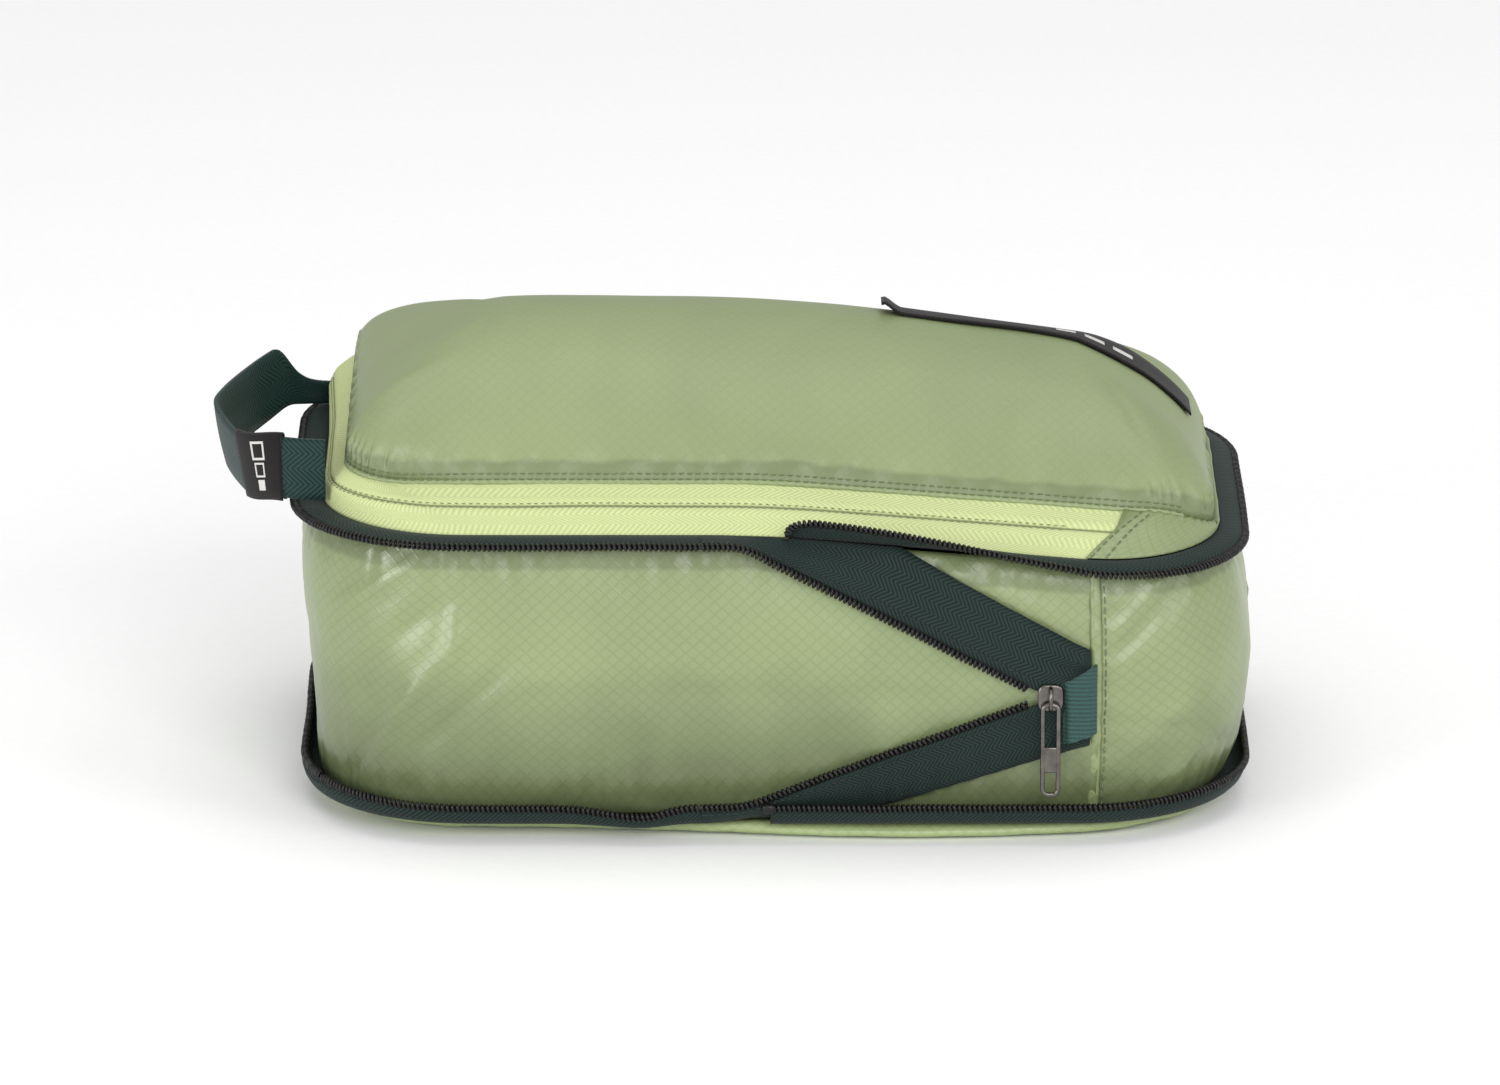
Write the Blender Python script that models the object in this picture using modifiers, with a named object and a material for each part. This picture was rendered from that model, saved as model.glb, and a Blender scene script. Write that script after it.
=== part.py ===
"""A compression packing cube, stuffed and expanded, standing on its flat underside.

X runs to the right along the long side, Y to the back, Z up. The origin is at the middle of the underside.
Lengths in this file are millimetres until MM turns them into metres.
"""

import math

import bmesh
import bpy
from mathutils import Matrix, Vector

MM = 0.001

# Rim seam, where gusset, zipper tapes and lid meet: a rounded rectangle seen from above
RIM = {"left": 118.5, "right": 118.5, "side": 73.0, "round_left": 38.0, "round_right": 38.0}
# Sewn edge of the lid
LID = {"left": 113.0, "right": 117.3, "side": 54.0, "round_left": 12.0, "round_right": 18.0}

RIM_Z = 82.5
RIM_FALL = 8.0
FALL_LENGTH = 100.0
LID_EDGE_Z = 91.0
LID_LEFT_RISE = 8.0
LID_RIGHT_Z = 75.8
BASE_SEAM_Z = 6.2
CREST_Z = 124.0
CREST_FALL = 10.0
CREST_LEFT_X = -70.0
CREST_RIGHT_X = 80.0

BULGE_SIDE = 6.0
BULGE_LEFT = 6.5
BULGE_RIGHT = 9.0

FABRIC = 1.1
TAPE = 0.9
WEBBING = 1.3
COIL_R = 1.1
INNER_COIL_R = 0.9
GAP = 0.4

SEAM_T = 1.07  # place of the front right seam along the outlines
LIME_END_RIM_T = 1.04
LIME_END_LID_T = 0.975
LIME_SLIT = 0.08
V_RIGHT_X = 82.3
SEAM_GAP_T = 0.006  # half the gap between the two gusset panels, under the seam's ridge
SEAM_RIDGE_HALF = 1.15
MAIN_SLIDER_T = 4.0495  # place of the closed main slider along the rear
INNER_COIL_SHARE = 0.085  # of the slope, on each side of the middle

# The compression zipper's two flanges
LOWER_TAPE_START_T = 0.5
LOWER_TAPE_END_T = 8.475
LOWER_COIL_OUT = 8.9
LOWER_COIL_Z = 10.8
UPPER_TAPE_START_T = 0.53
UPPER_TAPE_END_T = 8.45
FLANGE_REACH = 6.6
FLANGE_DROP = 0.5

CHAIN_X = 71.5
CHAIN_Z = 40.5
SLIDER_X = 73.4

PULL_LENGTH = 26.0
PULL_WIDTH = 5.4
PULL_WIRE_R = 0.65
SLIDER_POST_X = 3.3
PULL_HANG = (1.4, 0.0, 3.05)  # the pull's top bar, from the middle of the slider's face

STRAP_LOW = 84.6
STRAP_WIDTH = 16.5
STRAP_LEAN = 3.0
STRAP_HALF_PATH = (
    (-121.6, -48.0),
    (-127.5, -46.6),
    (-134.0, -42.5),
    (-140.5, -33.5),
    (-145.6, -20.0),
    (-149.0, -7.0),
)
STRAP_APEX_X = -150.0

LABEL_LEFT_X = 31.0
LABEL_RIGHT_X = 113.5
LABEL_HALF = 7.5
LABEL_LIFT = 1.3

HANDLE_AXIS = (-129.5, 85.0)
LID_AXIS = (124.0, 79.0)

STRAIGHT_STEPS = 8
END_STEPS = 4
CORNER_STEPS = 6

MOSS = (0.33, 0.41, 0.20)
MOSS_DEEP = (0.27, 0.35, 0.16)
LIME = (0.69, 0.80, 0.37)
DARK_GREEN = (0.023, 0.045, 0.038)
COIL_BLACK = (0.008, 0.010, 0.010)
TEAL = (0.016, 0.090, 0.075)
TAG_BLACK = (0.020, 0.018, 0.018)
NICKEL = (0.30, 0.26, 0.23)


def clear_scene():
    for obj in list(bpy.data.objects):
        bpy.data.objects.remove(obj)


def collection(name, hidden=False):
    made = bpy.data.collections.new(name)
    bpy.context.scene.collection.children.link(made)
    made.hide_render = hidden
    return made


def finish(name, colour, roughness, metallic=0.0):
    material = bpy.data.materials.new(name)
    material.use_nodes = True
    shader = material.node_tree.nodes["Principled BSDF"]
    shader.inputs["Base Color"].default_value = (*colour, 1.0)
    shader.inputs["Roughness"].default_value = roughness
    shader.inputs["Metallic"].default_value = metallic
    return material


def smooth(x):
    x = min(max(x, 0.0), 1.0)
    return x * x * (3.0 - 2.0 * x)


def mix(a, b, share):
    return a + (b - a) * share


# ---- outlines seen from above ----


def outline_point(outline, t):
    """The point at t and its outward normal.

    Each whole step of t is one stretch, counter-clockwise: 0 front, 1 front right corner, 2 right end,
    3 rear right, 4 rear, 5 rear left, 6 left end, 7 front left.
    """
    t = t % 8.0
    stretch = int(t)
    share = t - stretch
    left = outline["left"]
    right = outline["right"]
    side = outline["side"]
    round_left = outline["round_left"]
    round_right = outline["round_right"]
    if stretch == 0:
        return mix(round_left - left, right - round_right, share), -side, 0.0, -1.0
    if stretch == 2:
        return right, mix(round_right - side, side - round_right, share), 1.0, 0.0
    if stretch == 4:
        return mix(right - round_right, round_left - left, share), side, 0.0, 1.0
    if stretch == 6:
        return -left, mix(side - round_left, round_left - side, share), -1.0, 0.0
    radius = round_right if stretch in (1, 3) else round_left
    centre_x = right - radius if stretch in (1, 3) else radius - left
    centre_y = radius - side if stretch in (1, 7) else side - radius
    angle = math.radians(-90.0 + 45.0 * (stretch - 1) + 90.0 * share)
    nx = math.cos(angle)
    ny = math.sin(angle)
    return centre_x + radius * nx, centre_y + radius * ny, nx, ny


def stations(start, end):
    """Values of t from start to end, closer together round the corners."""
    steps = {0: STRAIGHT_STEPS, 4: STRAIGHT_STEPS, 2: END_STEPS, 6: END_STEPS}
    values = [start]
    stretch = math.floor(start)
    while stretch < end:
        count = steps.get(stretch % 8, CORNER_STEPS)
        for i in range(count):
            value = stretch + i / count
            if start + 0.02 < value < end - 0.02:
                values.append(value)
        stretch += 1
    values.append(end)
    return values


def fall(x):
    return RIM_FALL * min(max(x / FALL_LENGTH, 0.0), 1.0)


def rim_point(t, out=0.0, up=0.0):
    x, y, nx, ny = outline_point(RIM, t)
    return Vector((x + out * nx, y + out * ny, RIM_Z - fall(x) + up))


def at_height(point, z):
    return Vector((point.x, point.y, z))


def lid_edge(t):
    x, y, _, _ = outline_point(LID, t)
    z = LID_EDGE_Z - fall(x) + LID_LEFT_RISE * smooth((-x - 95.0) / 18.0)
    corner_x = LID["right"] - LID["round_right"]
    z = mix(z, LID_RIGHT_Z, max(0.0, (x - corner_x) / LID["round_right"]) ** 2)
    return Vector((x, y, z))


def band_point(t, across, up=0.0):
    """A point on the slope from the rim seam (across 0) to the lid edge (across 1)."""
    low = rim_point(t)
    high = lid_edge(t)
    along = rim_point(t + 0.01) - rim_point(t - 0.01)
    normal = along.cross(high - low).normalized()
    return low.lerp(high, across) + normal * up


def bulge(t):
    x, _, nx, _ = outline_point(RIM, t)
    end = BULGE_RIGHT if x > 0.0 else BULGE_LEFT
    return mix(BULGE_SIDE, end, nx * nx)


def gusset_out(t, z):
    """How far the gusset stands out from the seam line at a height."""
    top = RIM_Z - 1.7 - fall(outline_point(RIM, t)[0])
    share = min(max((z - BASE_SEAM_Z) / (top - BASE_SEAM_Z), 0.0), 1.0)
    return bulge(t) * math.sin(math.pi * share) ** 0.6


def gusset_point(t, height, out=0.0):
    x, y, nx, ny = outline_point(RIM, t)
    top = RIM_Z - 1.7 - fall(x)
    z = mix(BASE_SEAM_Z, top, height)
    reach = gusset_out(t, z) + out
    return Vector((x + reach * nx, y + reach * ny, z))


def front_t(x):
    """The value of t on the front, or the start of its right corner, at x."""
    straight = RIM["right"] - RIM["round_right"]
    if x <= straight:
        return (x + straight) / (2.0 * straight)
    return 1.0 + math.degrees(math.asin((x - straight) / RIM["round_right"])) / 90.0


# ---- makers ----


def place(name, mesh, material, parts):
    obj = bpy.data.objects.new(name, mesh)
    mesh.materials.append(material)
    parts.objects.link(obj)
    return obj


def sheet(name, rows, thickness, material, parts, closed=False):
    """An open surface through rows of points, thickened. closed joins the last column to the first."""
    work = bmesh.new()
    grid = [[work.verts.new(p * MM) for p in row] for row in rows]
    width = len(rows[0])
    for lower, upper in zip(grid, grid[1:]):
        for i in range(width if closed else width - 1):
            j = (i + 1) % width
            work.faces.new((lower[i], lower[j], upper[j], upper[i]))
    bmesh.ops.remove_doubles(work, verts=work.verts, dist=1e-6)
    mesh = bpy.data.meshes.new(name)
    work.to_mesh(mesh)
    work.free()
    mesh.shade_smooth()
    obj = place(name, mesh, material, parts)
    thicken = obj.modifiers.new("thickness", "SOLIDIFY")
    thicken.thickness = thickness * MM
    thicken.offset = 0.0
    return obj


def bead(name, points, radius, material, parts, closed=False):
    """A round bead along points, standing for a zipper's coil."""
    curve = bpy.data.curves.new(name, "CURVE")
    curve.dimensions = "3D"
    spline = curve.splines.new("POLY")
    spline.points.add(len(points) - 1)
    for target, p in zip(spline.points, points):
        target.co = (*(p * MM), 1.0)
    spline.use_cyclic_u = closed
    curve.bevel_depth = radius * MM
    curve.bevel_resolution = 1
    curve.use_fill_caps = not closed
    curve.materials.append(material)
    obj = bpy.data.objects.new(name, curve)
    parts.objects.link(obj)
    return obj


def box(name, size, centre, matrix, material, home):
    work = bmesh.new()
    bmesh.ops.create_cube(work, size=1.0)
    bmesh.ops.scale(work, vec=Vector(size) * MM, verts=work.verts)
    bmesh.ops.translate(work, vec=Vector(centre) * MM, verts=work.verts)
    mesh = bpy.data.meshes.new(name)
    work.to_mesh(mesh)
    work.free()
    obj = place(name, mesh, material, home)
    obj.matrix_world = matrix
    return obj


def join(base, others):
    for other in others:
        other.display_type = "WIRE"
        other.hide_render = True
        union = base.modifiers.new("join " + other.name, "BOOLEAN")
        union.operation = "UNION"
        union.object = other


def soften(obj, width):
    rounding = obj.modifiers.new("rounding", "BEVEL")
    rounding.width = width * MM
    rounding.segments = 1
    rounding.limit_method = "ANGLE"


def frame_at(centre, along, normal):
    """A placement whose x is along, z is the normal, at centre."""
    z = normal.normalized()
    x = (along - z * along.dot(z)).normalized()
    y = z.cross(x)
    turn = Matrix((x, y, z)).transposed().to_4x4()
    return Matrix.Translation(centre * MM) @ turn


# ---- sub-parts ----


def bottom_panel(material, parts):
    profile = ((-0.6, 3.7), (2.6, 2.4), (3.2, 1.4), (0.5, 0.75), (-6.0, 0.55))
    values = stations(0.0, 8.0)[:-1]
    rows = []
    for out, z in profile:
        rows.append([at_height(rim_point(t, out), z) for t in values])
    obj = sheet("bottom_panel", rows, FABRIC, material, parts, closed=True)
    work = bmesh.new()
    work.from_mesh(obj.data)
    flat = min(v.co.z for v in work.verts) + 1e-6
    rim = [e for e in work.edges if e.is_boundary and all(v.co.z < flat for v in e.verts)]
    bmesh.ops.contextual_create(work, geom=rim)
    bmesh.ops.recalc_face_normals(work, faces=work.faces)
    work.to_mesh(obj.data)
    work.free()


def gusset(name, start, end, material, parts):
    heights = (0.0, 0.04, 0.12, 0.3, 0.5, 0.7, 0.88, 0.96, 1.0)
    values = stations(start, end)
    rows = [[gusset_point(t, h) for t in values] for h in heights]
    sheet(name, rows, FABRIC, material, parts)


def gusset_seam(name, t, material, parts):
    half = SEAM_RIDGE_HALF / (math.pi / 2 * RIM["round_right"])
    rows = []
    for step in range(9):
        height = mix(0.14, 0.965, step / 8)
        reach = FABRIC / 2 + GAP + 0.35
        rows.append([gusset_point(t + side * half, height, reach) for side in (-1, 1)])
    sheet(name, rows, 0.6, material, parts)


def lower_tape(tape, coil, parts):
    values = stations(LOWER_TAPE_START_T, LOWER_TAPE_END_T)
    profile = ((0.5, 4.9), (5.2, 4.7), (7.4, 6.3), (8.4, 8.9))
    rows = []
    for out, z in profile:
        rows.append([at_height(rim_point(t, out), z) for t in values])
    sheet("lower_zip_tape", rows, TAPE, tape, parts)
    points = [at_height(rim_point(t, LOWER_COIL_OUT), LOWER_COIL_Z) for t in values]
    bead("lower_zip_coil", points, COIL_R, coil, parts)


def flange_tilt(t):
    """Tilt of the upper tape from level, in degrees: up at its folded end, drooping elsewhere."""
    along = t if t > 0.5 else 8.0
    x, _, _, _ = outline_point(RIM, t)
    turned_up = 45.0 * smooth((1.15 - along) / 0.6)
    return turned_up - mix(5.0, 15.0, smooth((x - 20.0) / 90.0)) * smooth((along - 0.55) / 0.5)


def upper_tape(tape, coil, parts):
    values = stations(UPPER_TAPE_START_T, UPPER_TAPE_END_T)
    rows = [[], [], []]
    coil_points = []
    for t in values:
        tilt = math.radians(flange_tilt(t))
        for row, reach in zip(rows, (0.5, 3.6, FLANGE_REACH)):
            row.append(rim_point(t, reach * math.cos(tilt), reach * math.sin(tilt) - FLANGE_DROP))
        reach = FLANGE_REACH + COIL_R + GAP
        coil_points.append(rim_point(t, reach * math.cos(tilt), reach * math.sin(tilt) - FLANGE_DROP))
    sheet("upper_zip_tape", rows, TAPE, tape, parts)
    bead("upper_zip_coil", coil_points, COIL_R, coil, parts)


def front_point(x, z, out):
    t = front_t(x)
    px, py, nx, ny = outline_point(RIM, t)
    reach = gusset_out(t, z) + out
    return Vector((px + reach * nx, py + reach * ny, z))


def v_run(name, tooth_line, outer_line, tape, coil, parts):
    """One of the two tape runs that meet at the slider. The lines are (x, z) from left to right."""
    reach = FABRIC / 2 + GAP + TAPE / 2
    rows = []
    for across in (0.0, 0.5, 1.0):
        row = []
        for a, b in zip(tooth_line, outer_line):
            row.append(front_point(mix(a[0], b[0], across), mix(a[1], b[1], across), reach))
        rows.append(row)
    sheet(f"v_tape_{name}", rows, TAPE, tape, parts)
    away = 1.0 if tooth_line[0][1] < CHAIN_Z else -1.0
    coil_points = []
    for x, z in tooth_line:
        if x < CHAIN_X - 6.5:
            coil_points.append(front_point(x, z + away * (COIL_R + 0.55), reach + 0.3))
    bead(f"v_coil_{name}", coil_points, COIL_R, coil, parts)


def v_runs(tape, coil, parts):
    steps = 8
    for name, start, outer_start, outer_end, side in (
        ("upper", (-1.0, 76.6), (33.0, 74.6), (V_RIGHT_X, 55.0), 1.0),
        ("lower", (-2.0, 14.4), (30.0, 14.0), (V_RIGHT_X, 26.5), -1.0),
    ):
        tooth_line = []
        outer_line = []
        for step in range(steps + 1):
            share = step / steps
            x = mix(start[0], V_RIGHT_X, share)
            apex_share = min((x - start[0]) / (CHAIN_X - start[0]), 1.0)
            tooth_line.append((x, mix(start[1], CHAIN_Z + side * 1.6, apex_share)))
            outer_line.append(
                (mix(outer_start[0], outer_end[0], share), mix(outer_start[1], outer_end[1], share))
            )
        v_run(name, tooth_line, outer_line, tape, coil, parts)


def webbing_tab(material, parts):
    out = FABRIC / 2 + GAP + TAPE + GAP + WEBBING / 2
    rows = []
    for z in (26.0, 31.5, 37.0, 43.0, 49.0):
        rows.append([front_point(x, z, out) for x in (78.3, 81.5, 84.6)])
    sheet("webbing_tab", rows, WEBBING, material, parts)


def end_stop(name, x, z, y_out, size, material, parts):
    at = Matrix.Translation(Vector((x, -RIM["side"] - y_out, z)) * MM)
    obj = box(name, size, (0, 0, 0), at, material, parts)
    soften(obj, 0.3)


def main_tapes(tape, coil, parts):
    """The lime zipper: from the front right, round the left end, to the rear right."""
    lower_half = (0.03, 0.5 - LIME_SLIT / 2)
    upper_half = (0.5 + LIME_SLIT / 2, 0.965)
    inner = stations(4.08, 8.92)[1:-1]
    for name, (near, far) in (("lower", lower_half), ("upper", upper_half)):
        rows = []
        for across in (near, mix(near, far, 0.5), far):
            # the same stations on each row, only the ends are slanted
            cut = mix(LIME_END_RIM_T, LIME_END_LID_T, across)
            values = [5.0 - cut] + inner + [8.0 + cut]
            rows.append([band_point(t, across) for t in values])
        sheet(f"main_zip_tape_{name}", rows, TAPE, tape, parts)
        across = 0.5 - INNER_COIL_SHARE if name == "lower" else 0.5 + INNER_COIL_SHARE
        depth = -(TAPE / 2 + 0.35 + INNER_COIL_R)
        points = [band_point(t, across, depth) for t in stations(4.02, 8.95)]
        bead(f"main_coil_{name}", points, INNER_COIL_R, coil, parts)


def crest(x):
    share = (x - CREST_LEFT_X) / (CREST_RIGHT_X - CREST_LEFT_X)
    return CREST_Z - CREST_FALL * min(max(share, 0.0), 1.0) ** 1.6


def dome_point(t, inward, up=0.0):
    """A point of the lid: on its edge at inward 0, on the crest at inward 1."""
    edge = lid_edge(t)
    spine_x = min(max(edge.x, CREST_LEFT_X), CREST_RIGHT_X)
    to_end = smooth((abs(edge.x - spine_x)) / 30.0)
    steepness = mix(0.75, 0.2 if edge.x < 0.0 else 0.37, to_end)
    if to_end > 0.5:
        rise = inward**steepness
    else:
        rise = math.sin(math.pi / 2 * inward) ** steepness
    return Vector(
        (
            mix(edge.x, spine_x, inward),
            mix(edge.y, 0.0, inward),
            mix(edge.z, crest(spine_x), rise) + up,
        )
    )


def lid_panel(material, parts):
    values = stations(0.0, 8.0)[:-1]
    steps = (0.0, 0.03, 0.1, 0.22, 0.4, 0.65, 1.0)
    rows = [[dome_point(t, inward) for t in values] for inward in steps]
    sheet("lid_panel", rows, 1.0, material, parts, closed=True)


def corner_panel(name, in_front, material, parts):
    """The fabric between rim and lid edge past the end of the lime zipper."""
    rows = []
    for across in (0.03, 0.5, 0.965):
        cut = mix(LIME_END_RIM_T, LIME_END_LID_T, across)
        first = cut + 2 * SEAM_GAP_T
        last = 1.8
        if not in_front:
            first = 5.0 - first
            last = 5.0 - last
        rows.append([band_point(mix(first, last, step / 6), across) for step in range(7)])
    sheet(name, rows, 0.8, material, parts)


def binding(name, out, low, high, follow_rim, material, parts):
    values = stations(0.0, 8.0)[:-1]
    rows = []
    for z in (low, high):
        if follow_rim:
            rows.append([rim_point(t, out, z) for t in values])
        else:
            rows.append([at_height(rim_point(t, out), z) for t in values])
    sheet(name, rows, 1.0, material, parts, closed=True)


def lid_binding(material, parts):
    """Bound seam allowance inside the lid edge, from the front right round the left to the rear right."""
    values = stations(4.05, 8.93)
    rows = []
    inset = 2.8
    for down in (5.0, 1.2):
        row = []
        for t in values:
            edge = lid_edge(t)
            _, _, nx, ny = outline_point(LID, t)
            row.append(edge - Vector((inset * nx, inset * ny, down)))
        rows.append(row)
    sheet("lid_seam_binding", rows, 0.8, material, parts)


def slider(name, matrix, along, across, under_plate, material, parts, cutters):
    """A slider. Local x is the pull's direction, z is away from the tape, 0 at the tape's face."""
    obj = box(name, (along, across, 1.6), (0, 0, 1.1), matrix, material, parts)
    extra = []
    for side in (-1, 1):
        post = (1.4, 1.8, 3.2)
        centre = (side * SLIDER_POST_X, 0, 3.4)
        extra.append(box(f"{name}_post", post, centre, matrix, material, cutters))
    extra.append(box(f"{name}_bridge", (8.0, 1.8, 1.1), (0, 0, 4.75), matrix, material, cutters))
    if under_plate:
        extra.append(box(f"{name}_wedge", (3.0, 0.9, 6.4), (0, 0, -2.0), matrix, material, cutters))
        under = (along - 1.0, across, 1.3)
        extra.append(box(f"{name}_under", under, (0, 0, -4.4), matrix, material, cutters))
    join(obj, extra)


def pull(name, matrix, material, parts, cutters):
    """A wire loop with a plate across its middle. Local x runs down the pull, z away from the tape."""
    half = PULL_WIDTH / 2 - PULL_WIRE_R
    end = PULL_LENGTH - 2 * PULL_WIRE_R
    turn = 1.2
    points = []
    corners = ((0.0, -half), (0.0, half), (end, half), (end, -half))
    bends = ((1, 1), (1, -1), (-1, -1), (-1, 1))
    starts = (270.0, 180.0, 90.0, 0.0)
    for (cx, cy), (sx, sy), first in zip(corners, bends, starts):
        for step in range(4):
            angle = math.radians(first - 30.0 * step)
            x = cx + sx * turn + turn * math.cos(angle)
            y = cy + sy * turn + turn * math.sin(angle)
            points.append(Vector((x, y, 0.0)))
    wire = bead(name + "_wire", points, PULL_WIRE_R, material, cutters, closed=True)
    bpy.context.view_layer.update()
    graph = bpy.context.evaluated_depsgraph_get()
    mesh = bpy.data.meshes.new_from_object(wire.evaluated_get(graph))
    work = bmesh.new()
    work.from_mesh(mesh)
    bmesh.ops.remove_doubles(work, verts=work.verts, dist=1e-6)
    bmesh.ops.recalc_face_normals(work, faces=work.faces)
    work.to_mesh(mesh)
    work.free()
    bpy.data.objects.remove(wire)
    mesh.materials.clear()
    obj = place(name, mesh, material, parts)
    obj.matrix_world = matrix
    plate = (PULL_LENGTH * 0.27, PULL_WIDTH - 1.0, 0.9)
    bar = box(name + "_plate", plate, (PULL_LENGTH * 0.58, 0, 0), matrix, material, cutters)
    join(obj, [bar])


def handle_path():
    """The strap's middle line seen from above, from its front end to its rear end."""
    points = [Vector(p) for p in STRAP_HALF_PATH] + [Vector((STRAP_APEX_X, 0.0))]
    points += [Vector((x, -y)) for x, y in reversed(STRAP_HALF_PATH)]
    return points


def strap_frames():
    """Each point of the strap's middle line with its outward side."""
    points = handle_path()
    frames = []
    for i, point in enumerate(points):
        before = points[max(i - 1, 0)]
        after = points[min(i + 1, len(points) - 1)]
        along = (after - before).normalized()
        frames.append((point, Vector((-along.y, along.x))))
    return frames


def strap_point(point, side, share, out):
    """share runs from the lower edge to the upper edge, which leans outward. The apex sits lower."""
    drop = 3.2 * smooth((-point.x - 128.5) / 12.0)
    z = STRAP_LOW - drop + STRAP_WIDTH * share
    lean = STRAP_LEAN * (share - 0.5) * smooth((-point.x - 124.0) / 14.0)
    return Vector((point.x + side.x * (out + lean), point.y + side.y * (out + lean), z))


def handle(material, tag_material, parts):
    frames = strap_frames()
    rows = [[strap_point(p, side, share, 0.0) for p, side in frames] for share in (0.0, 0.5, 1.0)]
    sheet("handle_strap", rows, WEBBING, material, parts)
    reach = WEBBING / 2 + GAP + 0.35
    loop = ((-0.05, 1), (0.5, 1), (1.0, 1), (1.09, 1), (1.09, -1), (1.0, -1), (0.5, -1), (-0.05, -1))
    first = frames[2]
    last = frames[3]
    rows = []
    for share, side_sign in loop:
        row = []
        for place_along in (0.1, 0.55, 1.0):
            point = first[0].lerp(last[0], place_along)
            side = first[1].lerp(last[1], place_along).normalized()
            row.append(strap_point(point, side, share, reach * side_sign))
        rows.append(row)
    sheet("size_tag", rows, 0.6, tag_material, parts)


def top_label(material, parts):
    rows = []
    steps = 16
    for step in range(steps + 1):
        x = mix(LABEL_LEFT_X, LABEL_RIGHT_X, step / steps)
        if x <= CREST_RIGHT_X:
            z = crest(x)
        else:
            inward = (LID["right"] - x) / (LID["right"] - CREST_RIGHT_X)
            z = mix(LID_RIGHT_Z, crest(CREST_RIGHT_X), inward**0.37)
        curl = 2.6 * smooth((LABEL_LEFT_X + 6.0 - x) / 6.0)
        clear_x = x + 0.6 * smooth((x - 95.0) / 10.0)
        height = z + LABEL_LIFT + curl
        rows.append([Vector((clear_x, y, height)) for y in (-LABEL_HALF, LABEL_HALF)])
    sheet("top_label", rows, 0.7, material, parts)


def joint_marks(parts):
    """Empties on the joint axes, for whoever animates the part."""
    for name, at in (
        ("lid_axis", (LID_AXIS[0], 0.0, LID_AXIS[1])),
        ("handle_axis", (HANDLE_AXIS[0], 0.0, HANDLE_AXIS[1])),
    ):
        empty = bpy.data.objects.new(name, None)
        empty.location = Vector(at) * MM
        parts.objects.link(empty)


def main():
    clear_scene()
    parts = collection("packing_cube")
    cutters = collection("joined_shapes", hidden=True)

    moss = finish("moss_ripstop", MOSS, 0.38)
    moss_deep = finish("moss_ripstop_bottom", MOSS_DEEP, 0.42)
    lime = finish("lime_zip_tape", LIME, 0.7)
    dark = finish("dark_zip_tape", DARK_GREEN, 0.75)
    black = finish("coil", COIL_BLACK, 0.35)
    teal = finish("teal_webbing", TEAL, 0.7)
    strap = finish("handle_webbing", DARK_GREEN, 0.65)
    tag = finish("woven_label", TAG_BLACK, 0.6)
    nickel = finish("gunmetal", NICKEL, 0.3, 1.0)

    bottom_panel(moss_deep, parts)
    rear_seam_t = 5.0 - SEAM_T
    gusset("gusset_main", rear_seam_t + SEAM_GAP_T, 8.0 + SEAM_T - SEAM_GAP_T, moss, parts)
    gusset("gusset_right_end", SEAM_T + SEAM_GAP_T, rear_seam_t - SEAM_GAP_T, moss, parts)
    gusset_seam("gusset_seam_front", SEAM_T, moss, parts)
    gusset_seam("gusset_seam_rear", rear_seam_t, moss, parts)
    lower_tape(dark, black, parts)
    upper_tape(dark, black, parts)
    v_runs(dark, black, parts)
    webbing_tab(teal, parts)
    end_stop("zip_stop_lower", 0.6, 10.8, 11.9, (3.4, 1.2, 2.4), black, parts)
    main_tapes(lime, black, parts)
    lid_panel(moss, parts)
    corner_panel("corner_panel_front", True, moss, parts)
    corner_panel("corner_panel_rear", False, moss, parts)
    binding("rim_seam_binding", -2.6, -8.0, -3.0, True, dark, parts)
    binding("base_seam_binding", -2.6, 5.0, 10.0, False, dark, parts)
    lid_binding(dark, parts)

    tape_face = RIM["side"] + BULGE_SIDE + FABRIC / 2 + GAP + TAPE
    at = Vector((SLIDER_X, -tape_face, CHAIN_Z))
    front = frame_at(at, Vector((0, 0, -1)), Vector((0, -1, 0)))
    slider("compression_slider", front, 9.0, 9.0, False, nickel, parts, cutters)
    hang = Matrix.Translation(Vector(PULL_HANG) * MM)
    pull("compression_pull", front @ hang, nickel, parts, cutters)

    middle = band_point(MAIN_SLIDER_T, 0.5)
    chain = band_point(4.4, 0.5) - middle
    normal = chain.cross(lid_edge(4.2) - rim_point(4.2))
    rear = frame_at(middle + normal.normalized() * (TAPE / 2), chain, normal)
    slider("main_slider", rear, 11.0, 9.0, True, nickel, parts, cutters)
    pull("main_pull", rear @ hang, nickel, parts, cutters)

    handle(strap, tag, parts)
    top_label(tag, parts)
    joint_marks(parts)


main()
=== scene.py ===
"""Looks of the compression packing cube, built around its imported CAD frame.

Lengths in the shape functions are millimetres in the CAD's own frame; MM turns them into metres.
"""

import math

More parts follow.
